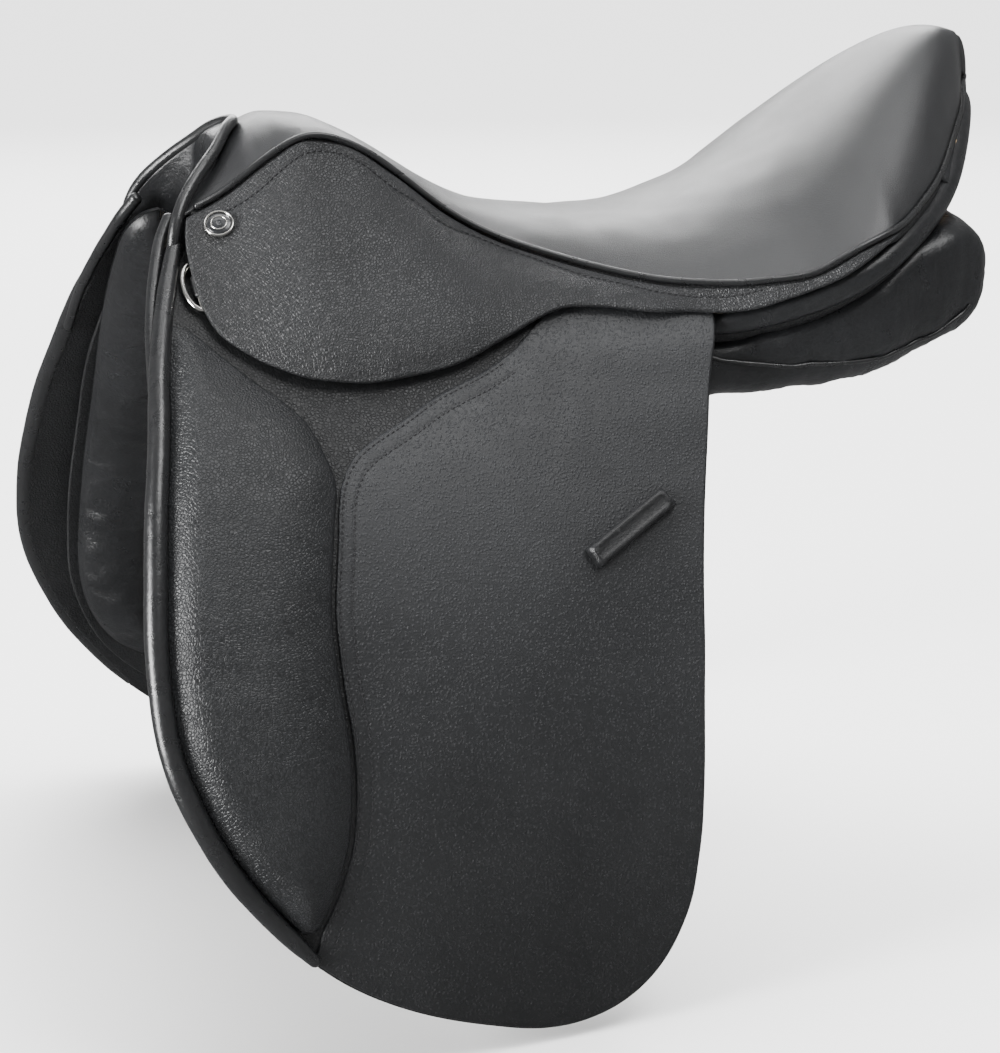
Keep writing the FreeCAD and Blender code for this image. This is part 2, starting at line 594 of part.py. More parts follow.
# rivets through head plate, arch and gullet plate
rivs = []
for y, z, a in ((34, 130.5, 46.0), (58, 97, 58.0)):
    for xr in (HEAD_X0 + 15.5, HEAD_X0 + 23.5):
        n = Vector(0, math.sin(math.radians(a)), math.cos(math.radians(a)))
        c = Vector(xr, y, z)
        shank = Part.makeCylinder(2.0, HEAD_T + 6.4, c - n * (HEAD_T / 2 + 2.4), n)
        headc = Part.makeCylinder(3.2, 1.6, c + n * (HEAD_T / 2 + 2.4), n)
        r = solids(shank.fuse(headc))
        rivs += [r, solids(mirror(r))]
put("tree_rivets", Part.makeCompound(rivs))

# spring steel strips under the rails
spring_pts = [Vector(x, -y, z - RAIL_T / 2 - 1.3) for x, y, z, w in RAIL[1:12]]
spring = bar_sections(spring_pts, [14] * len(spring_pts), 1.5, tilts[1:12])
spring = cut(spring, rail)
put_pair("tree_spring", spring)

# gullet lining: leather sleeve inside the arch
lining = arch_band(-HEAD_T / 2 - 5.6, -HEAD_T / 2 - 3.6, HEAD_X0 - 6, HEAD_X1 + 4, ARCH)
put("gullet_lining", cut(lining, rail_cutter))

# rolled binding round the front of the head
HB = [(-185, 0, 160.5), (-188, 8, 158.5), (-193.5, 18, 153.5), (-201, 29, 146), (-208.5, 38, 138), (-216, 47, 129.5), (-223, 55.5, 120), (-228, 62, 111.5)]
hb_path = [Vector(x, y, z) for x, y, z in reversed(HB)] + [Vector(x, -y, z) for x, y, z in HB[1:]]
put("head_binding", tube(hb_path, PIPING_D / 2))

# ---------------------------------------------------------------- stirrup bars
BAR_X0, BAR_X1 = -162.0, -88.0
BAR_Y, BAR_Z = 97.0, 79.0       # centre of the blade
PLATE_Y = 79.3


def slab_box(x0, x1, y0, y1, z0, z1):
    """Near-side block from half-width y0 to y1."""
    return Part.makeBox(x1 - x0, y1 - y0, z1 - z0, Vector(x0, -y1, z0))


blade = slab_box(BAR_X0, BAR_X1, BAR_Y - BAR_T / 2, BAR_Y + BAR_T / 2, BAR_Z - BAR_H / 2, BAR_Z + BAR_H / 2)
arm = slab_box(BAR_X0, BAR_X0 + 12, PLATE_Y, BAR_Y + BAR_T / 2, BAR_Z - BAR_H / 2 + 1, BAR_Z + BAR_H / 2)
plate = slab_box(BAR_X0, BAR_X1 - 6, PLATE_Y, PLATE_Y + 3.5, BAR_Z - 2.5, BAR_Z + 15)
# fork at the blade's rear end for the catch
fork = slab_box(BAR_X1 - 12, BAR_X1 + 1, BAR_Y - 1.6, BAR_Y + 1.6, BAR_Z - 10, BAR_Z + 10)
pin_c = Vector(BAR_X1 - 5.0, -(BAR_Y + BAR_T / 2 + 1), BAR_Z)
pin_hole = Part.makeCylinder(1.3, BAR_T + 2, pin_c, Vector(0, 1, 0))
bar = blade.fuse([arm, plate]).removeSplitter()
bar = solids(bar.cut(fork))
bar = solids(bar.cut(pin_hole))
bar_rivet_x = (BAR_X0 + 24, BAR_X0 + 58)
for xr in bar_rivet_x:
    bar = solids(bar.cut(Part.makeCylinder(2.05, 8, Vector(xr, -(PLATE_Y + 5), BAR_Z + 8.5), Vector(0, 1, 0))))
put_pair("stirrup_bar", bar)

# safety catch: tongue that turns on the pin; at rest it lies in line with the blade
eye = Part.makeCylinder(3.5, 2.9, Vector(BAR_X1 - 5.0, -(BAR_Y + 1.45), BAR_Z), Vector(0, 1, 0))
tail = slab_box(BAR_X1 - 5.0, BAR_X1 + 9, BAR_Y - 1.45, BAR_Y + 1.45, BAR_Z - 3.5, BAR_Z + 3.5)
catch = eye.fuse(tail).removeSplitter()
catch = solids(catch.cut(Part.makeCylinder(1.25, 10, Vector(BAR_X1 - 5.0, -(BAR_Y + 5), BAR_Z), Vector(0, 1, 0))))
put_pair("bar_catch", catch)
pin = Part.makeCylinder(1.2, BAR_T, Vector(BAR_X1 - 5.0, -(BAR_Y + BAR_T / 2), BAR_Z), Vector(0, 1, 0))
put("catch_pins", Part.makeCompound([pin, mirror(pin)]))
rivs = []
for xr in bar_rivet_x:
    shank = Part.makeCylinder(2.0, 16, Vector(xr, -(PLATE_Y + 3.6), BAR_Z + 8.5), Vector(0, 1, 0))
    hd = Part.makeCylinder(3.6, 1.6, Vector(xr, -(PLATE_Y + 5.2), BAR_Z + 8.5), Vector(0, 1, 0))
    r = solids(shank.fuse(hd))
    rivs += [r, mirror(r)]
put("stirrup_bar_rivets", Part.makeCompound(rivs))

# leather pockets that hold the ends of the tree points
pk = [(62, 92.5), (66.5, 85), (71.5, 77), (77, 68.5)]


def pocket():
    off0, off1 = HEAD_T / 2 + 0.5, HEAD_T / 2 + 2.3
    def offs(d):
        out = []
        for i, (y, z) in enumerate(pk):
            a, b = pk[max(0, i - 1)], pk[min(len(pk) - 1, i + 1)]
            ty, tz = b[0] - a[0], b[1] - a[1]
            l = math.hypot(ty, tz)
            out.append((y - tz / l * d, z + ty / l * d))
        return out
    hi, lo = offs(off1), offs(off0)
    e = edges_of([hi, [hi[-1], lo[-1]], list(reversed(lo)), [lo[0], hi[0]]], lambda y, z: Vector(HEAD_X0 - 4, -y, z))
    f = Part.Face(Part.Wire(e))
    return f.extrude(Vector(28, 0, 0))


put_pair("point_pocket", cut(pocket(), bar_block.fuse(head_plate)))

# ---------------------------------------------------------------- seat
NOSE = [(-206.5, 46.5), (-197.5, 38), (-186.5, 26), (-178.5, 14), (-175, 5), (-175, -5), (-178.5, -14), (-186.5, -26), (-197.5, -38), (-206.5, -46.5)]


def seat_layer(drop, t_edge, x0, x1, thick):
    """Layer that follows the seat's outer face, in strips across the seat from welt to welt."""
    f = grid_face(lambda x, t: Vector(x, t * t_edge(x) * welt_y(x), seat_z(x, t * t_edge(x) * welt_y(x)) - drop),
                  x0, x1, 49, -1.0, 1.0, 31)
    return f.extrude(Vector(0, 0, -thick))


room = prism_xy([[(-206.5, 80), (300, 180)], [(300, 180), (300, -180)], [(300, -180), (-206.5, -80)], [(-206.5, -80)] + [(-206.5, -46.5)],
                 list(reversed(NOSE)), [(-206.5, 46.5), (-206.5, 80)]], -60.0, 320.0)
cover = common(seat_layer(0.0, lambda x: 1.0 - 0.8 / welt_y(x), -207.5, 265.0, SEAT_T), room)
put("seat_cover", cover)
foam = seat_layer(SEAT_T + 0.4, lambda x: 1.0 - 9.5 / welt_y(x), -157.0, 245.0, FOAM_T)
put("seat_foam", foam)

# webbing under the foam: one strap along the seat, three across, between the rails
def seat_web_z(x, y):
    return seat_z(x, 0.0) - SEAT_T - FOAM_T - 3.0 - 0.0022 * y * y


webs = []
for x0, x1, hw in ((-140, 222, 22.0), (-20, 20, 56.0), (45, 85, 68.0), (110, 145, 70.0)):
    hz = 6.0 if hw > 30 else 0.0
    w = top_layer(lambda x, y, hz=hz: seat_web_z(x, y) - (2.4 if hz else 0.0), x0, x1, -hw, hw, 1.8)
    webs.append(w)
web = webs[0]
put("seat_webbing", Part.makeCompound([solids(w) for w in webs]))

# welt: piping round the edge of the seat, near side and off side
welt_pts = [Vector(x, -(welt_y(x) + 0.6), welt_z(x) + 0.6) for x in
            (-214, -198, -182, -166, -150, -134, -118, -102, -86, -70, -54, -38, -22, -6, 12, 32, 52, 72, 92, 110, 128, 146, 162, 176, 190, 205, 220, 234, 246, 256, 261)]
put_pair("seat_welt", tube(welt_pts, WELT_D / 2))
# the tree's rim is grooved under the welt
welt_room = tube(welt_pts, WELT_D / 2 + 0.35)
put("tree", cut(cut(NODES["tree"], welt_room), mirror(welt_room)))

# facing behind the cantle
cant_x = pchip([(0, 269), (8, 267.5), (15, 264.5), (35, 254), (57, 239), (75, 226), (92, 212), (100, 205)])


def facing_x(y, z):
    return cant_x(abs(y)) + 2.0 * math.sin(max(0.0, min(1.0, (z - 105.0) / 75.0)) * math.pi)


fx = grid_face(lambda y, z: Vector(facing_x(y, z), y, z), -100, 100, 31, 95, 205, 9).extrude(Vector(-4.0, 0, 0))
top_run = [(-84, 127), (-72, 136), (-57, 146), (-35, 158), (-18, 168), (0, 173), (18, 168), (35, 158), (57, 146), (72, 136), (84, 127)]
low_run = [(84, 121), (72, 125), (57, 128.5), (35, 131.5), (0, 133), (-35, 131.5), (-57, 128.5), (-72, 125), (-84, 121)]
e = edges_of([top_run, [top_run[-1], low_run[0]], low_run, [low_run[-1], top_run[0]]], lambda y, z: Vector(180, y, z))
fprism = Part.Face(Part.Wire(e)).extrude(Vector(110, 0, 0))
put("cantle_facing", cut(common(fx, fprism), rail_cutter))

# ---------------------------------------------------------------- skirts
XS = [-216 + 396.0 * i / 40 for i in range(41)]
sk_top = [(x, welt_z(x) - 1.6) for x in XS]
sk_low = [(x, skirt_z(x)) for x in [180.5 - 379.5 * i / 38 for i in range(39)]]
sk_front = [sk_low[-1], (-208, 60), (-214, 67), (-219.5, 77), (-221.5, 90), (-220.5, 100), (-218, 110), sk_top[0]]
skirt_full = common(side_layer(skirt_y, -240, 200, 30, 170, SKIRT_T, 10.0),
                    prism_xz([sk_top, [sk_top[-1], sk_low[0]], sk_low, sk_front]))

# the front of the skirt lifts about a line from its front edge to its rear lower edge
LX0, LX1 = (-222.0, 92.0), (20.0, 76.0)


def lobe_z(x):
    return LX0[1] + (LX1[1] - LX0[1]) * (x - LX0[0]) / (LX1[0] - LX0[0])


def fit_line(pts, x0):
    best = None
    for bi in range(-60, 61):
        b = bi / 100.0
        r = sorted(p[1] - b * (p[0] - x0) for p in pts)
        a = (r[0] + r[-1]) / 2
        w = r[-1] - r[0]
        if best is None or w < best[0]:
            best = (w, a, b)
    return best


lp = [(x, skirt_y(x, lobe_z(x))) for x in (-221, -205, -190, -170, -150, -130, -110, -90, -70, -50, -30, -10, 5)]
LW, LA, LB = fit_line(lp, LX0[0])
LA = LA + 0.35 * LW
S0 = Vector(LX0[0], -LA, LX0[1])
S1 = Vector(LX1[0], -(LA + LB * (LX1[0] - LX0[0])), LX1[1])
SD = (S1 - S0).normalize()
SN = Vector(0, 0, 0)
for xx in (-200, -150, -100, -50, 0):
    e_ = 3.0
    zz = lobe_z(xx)
    SN = SN + Vector(-(skirt_y(xx + e_, zz) - skirt_y(xx - e_, zz)) / (2 * e_), -1.0, -(skirt_y(xx, zz + e_) - skirt_y(xx, zz - e_)) / (2 * e_)).normalize()
SN = (SN - SD * SN.dot(SD)).normalize()
SDOWN = SD.cross(SN).normalize()
if SDOWN.z > 0:
    SDOWN = SDOWN * -1.0


def plane_block(p0, axis, nrm, down, gap):
    o = p0 + down * gap
    L, H, T = 1200.0, 900.0, 600.0
    a = o - axis * (L / 2) - nrm * (H / 2)
    w = Part.makePolygon([a, a + axis * L, a + axis * L + nrm * H, a + nrm * H, a])
    return Part.Face(w).extrude(down * T)


LOBE_GAP = 3.0
low_blk = plane_block((S0 + S1) * 0.5, SD, SN, SDOWN, LOBE_GAP)
up_blk = plane_block((S0 + S1) * 0.5, SD, SN, SDOWN * -1.0, LOBE_GAP)
lobe = skirt_full.common(low_blk)
front_part = Part.makeBox(230, 400, 400, Vector(-250, -400, -100))
lobe = common(lobe, front_part)
lobe_room = common(low_blk, Part.makeBox(233, 400, 400, Vector(-250, -400, -100)))
strip_gap = plane_block((S0 + S1) * 0.5, SD, SN, SDOWN, -LOBE_GAP)
strip_gap = common(strip_gap, Part.makeBox(233, 400, 400, Vector(-250, -400, -100)))
strip = cut(skirt_full, strip_gap)
put_pair("skirt_lobe", lobe)
put_pair("skirt", strip)

# round stud that nails the skirt's top corner down
stud_at = (-204.5, 113.0)
sn = Vector(0, 0, 0)
e_ = 3.0
sx, sz = stud_at
sn = Vector(-(skirt_y(sx + e_, sz) - skirt_y(sx - e_, sz)) / (2 * e_), -1.0, -(skirt_y(sx, sz + e_) - skirt_y(sx, sz - e_)) / (2 * e_)).normalize()
sc = Vector(sx, -skirt_y(sx, sz), sz)
disc = Part.makeCylinder(STUD_R, 2.0, sc + sn * 0.5, sn)
dome = Part.makeSphere(14.0, sc + sn * (0.5 + 2.9 - 14.0))
rim = Part.makeCylinder(STUD_R - 1.4, 6.0, sc + sn * 1.9, sn)
top = solids(dome.common(rim))
stud = solids(disc.fuse(top))
put_pair("skirt_stud", stud)

# ---------------------------------------------------------------- D-rings at the front of the skirts
DZ0, DZ1 = 94.0, 73.5


def dee_pt(x, z, lift=2.6):
    n = local_normal(x, z)
    return Vector(x, -flap_y(x, z), z) + n * lift


d0, d1 = dee_pt(-225.2, DZ0), dee_pt(-224.2, DZ1)
dc = (d0 + d1) * 0.5
dd = (d1 - d0).normalize()
dn = local_normal(-228, (DZ0 + DZ1) / 2)
dn = (dn - dd * dn.dot(dd)).normalize()
df = dd.cross(dn).normalize()
if df.x > 0:
    df = df * -1.0
DH = (d1 - d0).Length / 2
bow = [dc + dd * (-DH * math.cos(math.pi * k / 12.0)) + df * (8.4 * math.sin(math.pi * k / 12.0)) for k in range(13)]
bow_t = tube(bow, DEE_WIRE / 2)
barc = Part.makeCylinder(DEE_WIRE / 2, 2 * DH, d0, dd)
ends = [Part.makeSphere(DEE_WIRE / 2 + 0.02, d0), Part.makeSphere(DEE_WIRE / 2 + 0.02, d1)]
dee = solids(bow_t.fuse([barc] + ends))
put_pair("dee_ring", dee)
eye = Part.makeCylinder(2.7, 11.0, dc - dd * 5.5, dd)
strap_dir = df * -1.0
a0 = dc - dd * 5.5 - dn * 0.1
tw = Part.makePolygon([a0, a0 + dd * 11.0, a0 + dd * 11.0 + strap_dir * 20.0, a0 + strap_dir * 20.0, a0])
tabs = Part.Face(tw).extrude(dn * 1.2)
tab = solids(eye.fuse(tabs).cut(Part.makeCylinder(1.7, 14.0, dc - dd * 7.0, dd)))
put_pair("dee_tab", tab)

# ---------------------------------------------------------------- write the pieces
for name in sorted(NODES):
    NODES[name].exportStep("parts/" + name + ".step")
    b = NODES[name].BoundBox
    print("%-30s solids %d volume %.0f" % (name, len(NODES[name].Solids), NODES[name].Volume))
print("nodes", len(NODES))
print("flap hinge", AX0, AX1)
print("skirt hinge", S0, S1)
print("dee axis", d0, dd, df, dn)
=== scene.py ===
import json
import math
import bpy
import numpy as np
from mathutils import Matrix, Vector
from mathutils.geometry import delaunay_2d_cdt


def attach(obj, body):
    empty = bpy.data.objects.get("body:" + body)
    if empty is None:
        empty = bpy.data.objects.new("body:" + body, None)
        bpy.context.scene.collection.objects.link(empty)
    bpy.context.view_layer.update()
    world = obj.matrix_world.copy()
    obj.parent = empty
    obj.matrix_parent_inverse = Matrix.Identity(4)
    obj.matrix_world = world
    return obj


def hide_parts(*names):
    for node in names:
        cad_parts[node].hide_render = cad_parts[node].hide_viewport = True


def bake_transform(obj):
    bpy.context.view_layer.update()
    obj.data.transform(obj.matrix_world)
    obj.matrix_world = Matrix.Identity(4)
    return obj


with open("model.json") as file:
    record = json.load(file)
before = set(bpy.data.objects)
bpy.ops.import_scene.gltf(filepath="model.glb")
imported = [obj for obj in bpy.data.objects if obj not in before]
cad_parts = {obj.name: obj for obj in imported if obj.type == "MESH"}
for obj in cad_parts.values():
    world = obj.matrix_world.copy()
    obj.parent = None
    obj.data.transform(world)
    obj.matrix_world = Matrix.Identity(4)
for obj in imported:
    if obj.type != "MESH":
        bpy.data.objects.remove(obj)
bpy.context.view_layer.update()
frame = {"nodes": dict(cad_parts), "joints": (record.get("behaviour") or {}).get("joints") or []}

RNG = np.random.default_rng(7)
N = frame["nodes"]


# ------------------------------------------------------------------ curves and surfaces (millimetres)
def pchip(knots):
    s = np.array([k[0] for k in knots], float)
    v = np.array([k[1] for k in knots], float)
    h = np.diff(s)
    d = np.diff(v) / h
    m = np.zeros(len(s))
    m[0], m[-1] = d[0], d[-1]
    for i in range(1, len(s) - 1):
        if d[i - 1] * d[i] > 0:
            w1, w2 = 2 * h[i] + h[i - 1], h[i] + 2 * h[i - 1]
            m[i] = (w1 + w2) / (w1 / d[i - 1] + w2 / d[i])

    def f(x):
        x = np.asarray(x, float)
        i = np.clip(np.searchsorted(s, x) - 1, 0, len(s) - 2)
        t = (x - s[i]) / h[i]
        a, b = t ** 3, t ** 2
        r = ((2 * a - 3 * b + 1) * v[i] + (a - 2 * b + t) * h[i] * m[i]
             + (-2 * a + 3 * b) * v[i + 1] + (a - b) * h[i] * m[i + 1])
        r = np.where(x <= s[0], v[0] + m[0] * (x - s[0]), r)
        return np.where(x >= s[-1], v[-1] + m[-1] * (x - s[-1]), r)
    return f


def smooth(t):
    t = np.clip(t, 0, 1)
    return t * t * (3 - 2 * t)


flap_spread = pchip([(-80, 10), (-40, 25), (0, 60), (60, 122), (120, 172), (180, 204), (240, 224),
                     (300, 234), (360, 241), (420, 247), (500, 254), (560, 258)])
rear_gain = pchip([(-40, 8), (0, 12), (46, 14), (80, 4), (120, -7), (240, -12), (560, -14)])
seat_mid = pchip([(-182, 158), (-175, 163), (-162, 167), (-145, 166), (-128, 160), (-111, 151), (-93, 140),
                  (-76, 130), (-58, 121), (-40, 115), (-22, 112), (-4, 110), (15, 108), (33, 108), (52, 109),
                  (71, 113), (90, 119), (118, 131), (137, 142), (156, 155), (175, 170), (194, 184),
                  (214, 197), (233, 206), (243, 208), (252, 207), (259, 204), (265, 198), (269, 190)])
welt_y = pchip([(-226, 62), (-210, 56), (-186, 52), (-162, 50), (-141, 49), (-118, 51), (-88, 57), (-63, 64),
                (-38, 72), (-13, 82), (11, 94), (35, 106), (59, 116), (83, 125), (107, 131), (136, 135),
                (155, 132), (170, 122), (185, 110), (205, 92), (220, 75), (234, 57), (250, 35), (261, 15), (268, 7)])
welt_z = pchip([(-226, 119), (-218, 122), (-198, 131), (-174, 147), (-152, 158), (-141, 157), (-129, 154),
                (-104, 138), (-76, 116), (-50, 102), (-25, 93), (-1, 86), (22, 81), (47, 78), (71, 78),
                (92, 80), (107, 82), (121, 88), (136, 96), (155, 103), (170, 107), (185, 114), (205, 125),
                (220, 136), (234, 148), (250, 161), (261, 175)])
skirt_ref_z = pchip([(-230, 60), (-212, 57), (-198, 54), (-177, 47), (-150, 42), (-130, 42), (-110, 45), (-90, 49),
                     (-70, 55), (-54, 61), (-38, 66), (-20, 69), (4, 68), (40, 66), (64, 67), (80, 68), (92, 69),
                     (107, 73.5), (120, 80), (136, 87), (155, 94.5), (180, 104), (190, 109)])
skirt_low_gap = pchip([(-230, 5), (-215, 6), (-180, 10), (-60, 10), (30, 10)])
skirt_bump = pchip([(-224, 0), (-205, 3), (-185, 8), (-160, 13), (-90, 13), (-50, 6), (0, 4), (60, 0), (200, 0)])


def F(x, z):
    x, z = np.asarray(x, float), np.asarray(z, float)
    s = 105.0 - z
    return flap_spread(s) + smooth((x + 160.0) / 220.0) * rear_gain(s)


def K(x, z):
    x, z = np.asarray(x, float), np.asarray(z, float)
    zw, zr = welt_z(x), skirt_ref_z(x)
    gw = welt_y(x) + 1.0 - F(x, zw)
    gl = skirt_low_gap(x)
    gl = gl + (welt_y(x) + 6.0 - F(x, zr) - gl) * smooth((x - 20.0) / 60.0)
    t = (zw - z) / np.maximum(6.0, zw - zr)
    tc = np.clip(t, 0, 1)
    g = gw * (1 - tc) + gl * tc + skirt_bump(x) * 4 * tc * (1 - tc)
    return F(x, z) + g


def seat_z(x, y):
    yw = welt_y(x)
    t = np.abs(y) / yw
    zm, zw = seat_mid(x), welt_z(x)
    p = 2.4 + 1.4 * smooth((x - 120.0) / 80.0)
    return zm - (zm - zw) * np.clip(t, 0, 1.0) ** p


def normal_of(surf, x, z, e=1.5):
    fx = (surf(x + e, z) - surf(x - e, z)) / (2 * e)
    fz = (surf(x, z + e) - surf(x, z - e)) / (2 * e)
    n = np.stack([-fx, -np.ones_like(fx), -fz], -1)
    return n / np.linalg.norm(n, axis=-1, keepdims=True)


def vnoise(p, scale, seed):
    """Smooth repeatable noise, about -1..1, at points p (n, k) in mm."""
    r = np.random.default_rng(seed)
    out = np.zeros(len(p))
    for _ in range(7):
        k = r.normal(size=p.shape[1])
        k /= np.linalg.norm(k)
        out += np.sin(p @ k * (2 * math.pi / (scale * r.uniform(0.7, 1.5))) + r.uniform(0, 6.28))
    return out / 3.2


# ------------------------------------------------------------------ materials
def nt(name):
    m = bpy.data.materials.new(name)
    m.use_nodes = True
    t = m.node_tree
    t.nodes.clear()
    out = t.nodes.new("ShaderNodeOutputMaterial")
    b = t.nodes.new("ShaderNodeBsdfPrincipled")
    t.links.new(b.outputs[0], out.inputs[0])
    return m, t, b


def node(t, kind, **kw):
    n = t.nodes.new(kind)
    for k, v in kw.items():
        if k in n.inputs:
            n.inputs[k].default_value = v
        else:
            setattr(n, k, v)
    return n


def ramp(t, src, stops):
    r = t.nodes.new("ShaderNodeValToRGB")
    e = r.color_ramp.elements
    while len(e) > 2:
        e.remove(e[-1])
    for i, (p, c) in enumerate(stops):
        if i < 2:
            el = e[i]
            el.position = p
        else:
            el = e.new(p)
        el.color = (c, c, c, 1) if not isinstance(c, tuple) else (*c, 1)
    t.links.new(src, r.inputs[0])
    return r


def leather(name, dark, light, rough=(0.36, 0.5), grain="smooth", gscale=700.0, gdepth=0.35, coat=0.0, wrinkle=0.25,
            wscale=90.0, wear=0.6, spec=0.5, fade=None):
    """Leather: cell or dot grain, fine pores, long soft wrinkles, colour drift, lighter worn ridges, and optional
    painted shade that darkens the colour towards the bottom.
    """
    m, t, b = nt(name)
    L = t.links
    tc = node(t, "ShaderNodeTexCoord")
    co = tc.outputs["Object"]
    warp = node(t, "ShaderNodeTexNoise", Scale=gscale * 0.35, Detail=2.0)
    L.new(co, warp.inputs["Vector"])
    add = node(t, "ShaderNodeVectorMath", operation="MULTIPLY_ADD")
    L.new(warp.outputs["Color"], add.inputs[0])
    add.inputs[1].default_value = (0.0011, 0.0011, 0.0011)
    L.new(co, add.inputs[2])
    hs = []
    if grain == "cell":
        v = node(t, "ShaderNodeTexVoronoi", feature="DISTANCE_TO_EDGE", Scale=gscale)
        L.new(add.outputs[0], v.inputs["Vector"])
        g = ramp(t, v.outputs["Distance"], [(0.0, 0.0), (0.22, 0.82), (0.6, 1.0)])
        hs.append((g.outputs[0], gdepth))
    elif grain == "dot":
        v = node(t, "ShaderNodeTexVoronoi", feature="F1", Scale=gscale, Randomness=0.8)
        L.new(add.outputs[0], v.inputs["Vector"])
        g = ramp(t, v.outputs["Distance"], [(0.0, 1.0), (0.2, 0.9), (0.48, 0.0)])
        v2 = node(t, "ShaderNodeTexNoise", Scale=gscale * 1.7, Detail=3.0)
        L.new(co, v2.inputs["Vector"])
        g2 = ramp(t, v2.outputs["Fac"], [(0.35, 0.35), (0.6, 1.0)])
        base = node(t, "ShaderNodeMapRange")
        L.new(g.outputs[0], base.inputs["Value"])
        base.inputs["To Min"].default_value = 0.30
        mul = node(t, "ShaderNodeMath", operation="MULTIPLY")
        L.new(base.outputs[0], mul.inputs[0])
        L.new(g2.outputs[0], mul.inputs[1])
        hs.append((mul.outputs[0], gdepth))
    else:
        v = node(t, "ShaderNodeTexNoise", Scale=gscale, Detail=6.0, Roughness=0.62)
        L.new(co, v.inputs["Vector"])
        g = ramp(t, v.outputs["Fac"], [(0.3, 0.0), (0.7, 1.0)])
        hs.append((g.outputs[0], gdepth))
    grain_out = hs[0][0]
    w = node(t, "ShaderNodeTexNoise", Scale=wscale, Detail=4.0, Roughness=0.55, Distortion=0.6)
    L.new(co, w.inputs["Vector"])
    pores = node(t, "ShaderNodeTexNoise", Scale=2600.0, Detail=2.0)
    L.new(co, pores.inputs["Vector"])
    hs.append((w.outputs["Fac"], wrinkle))
    hs.append((pores.outputs["Fac"], 0.05))
    prev = None
    for k, (src, depth) in enumerate(reversed(hs)):
        bp = node(t, "ShaderNodeBump", Strength=1.0)
        bp.inputs["Distance"].default_value = 0.001 * depth
        L.new(src, bp.inputs["Height"])
        if prev:
            L.new(prev.outputs[0], bp.inputs["Normal"])
        prev = bp
    L.new(prev.outputs[0], b.inputs["Normal"])
    # colour: slow drift, grain darker in its valleys, ridges worn lighter
    drift = node(t, "ShaderNodeTexNoise", Scale=9.0, Detail=5.0, Roughness=0.6)
    L.new(co, drift.inputs["Vector"])
    dr = ramp(t, drift.outputs["Fac"], [(0.3, 0.0), (0.72, 1.0)])
    mix = node(t, "ShaderNodeMix", data_type="RGBA")
    mix.inputs["A"].default_value = (*dark, 1)
    mix.inputs["B"].default_value = (*light, 1)
    L.new(dr.outputs[0], mix.inputs["Factor"])
    mg = node(t, "ShaderNodeMix", data_type="RGBA", blend_type="MULTIPLY")
    mg.inputs["Factor"].default_value = 0.55
    L.new(mix.outputs["Result"], mg.inputs["A"])
    L.new(grain_out, mg.inputs["B"])
    geo = node(t, "ShaderNodeNewGeometry")
    pr = ramp(t, geo.outputs["Pointiness"], [(0.53, 0.0), (0.62, 1.0)])
    pm = node(t, "ShaderNodeMath", operation="MULTIPLY")
    L.new(pr.outputs[0], pm.inputs[0])
    pm.inputs[1].default_value = wear * 0.5
    mw = node(t, "ShaderNodeMix", data_type="RGBA")
    L.new(pm.outputs[0], mw.inputs["Factor"])
    L.new(mg.outputs["Result"], mw.inputs["A"])
    mw.inputs["B"].default_value = (light[0] * 2.6, light[1] * 2.6, light[2] * 2.7, 1)
    col = mw.outputs["Result"]
    # painted shade: the colour is multiplied down towards the bottom (object z from z0 up to z1, reaching 'amount' at
    # z0), standing in for light falling off lower on the piece
    if fade:
        z0, z1, amount = fade
        sep = node(t, "ShaderNodeSeparateXYZ")
        L.new(co, sep.inputs[0])
        mr = node(t, "ShaderNodeMapRange")
        L.new(sep.outputs["Z"], mr.inputs["Value"])
        mr.inputs["From Min"].default_value = z0
        mr.inputs["From Max"].default_value = z1
        mr.inputs["To Min"].default_value = amount
        mr.inputs["To Max"].default_value = 1.0
        mf = node(t, "ShaderNodeMix", data_type="RGBA", blend_type="MULTIPLY")
        mf.inputs["Factor"].default_value = 1.0
        L.new(col, mf.inputs["A"])
        L.new(mr.outputs[0], mf.inputs["B"])
        col = mf.outputs["Result"]
    L.new(col, b.inputs["Base Color"])
    rr = node(t, "ShaderNodeMapRange")
    L.new(w.outputs["Fac"], rr.inputs["Value"])
    rr.inputs["From Min"].default_value = 0.3
    rr.inputs["From Max"].default_value = 0.7
    rr.inputs["To Min"].default_value = rough[0]
    rr.inputs["To Max"].default_value = rough[1]
    L.new(rr.outputs[0], b.inputs["Roughness"])
    b.inputs["Specular IOR Level"].default_value = spec
    b.inputs["Coat Weight"].default_value = coat
    b.inputs["Coat Roughness"].default_value = 0.28
    return m


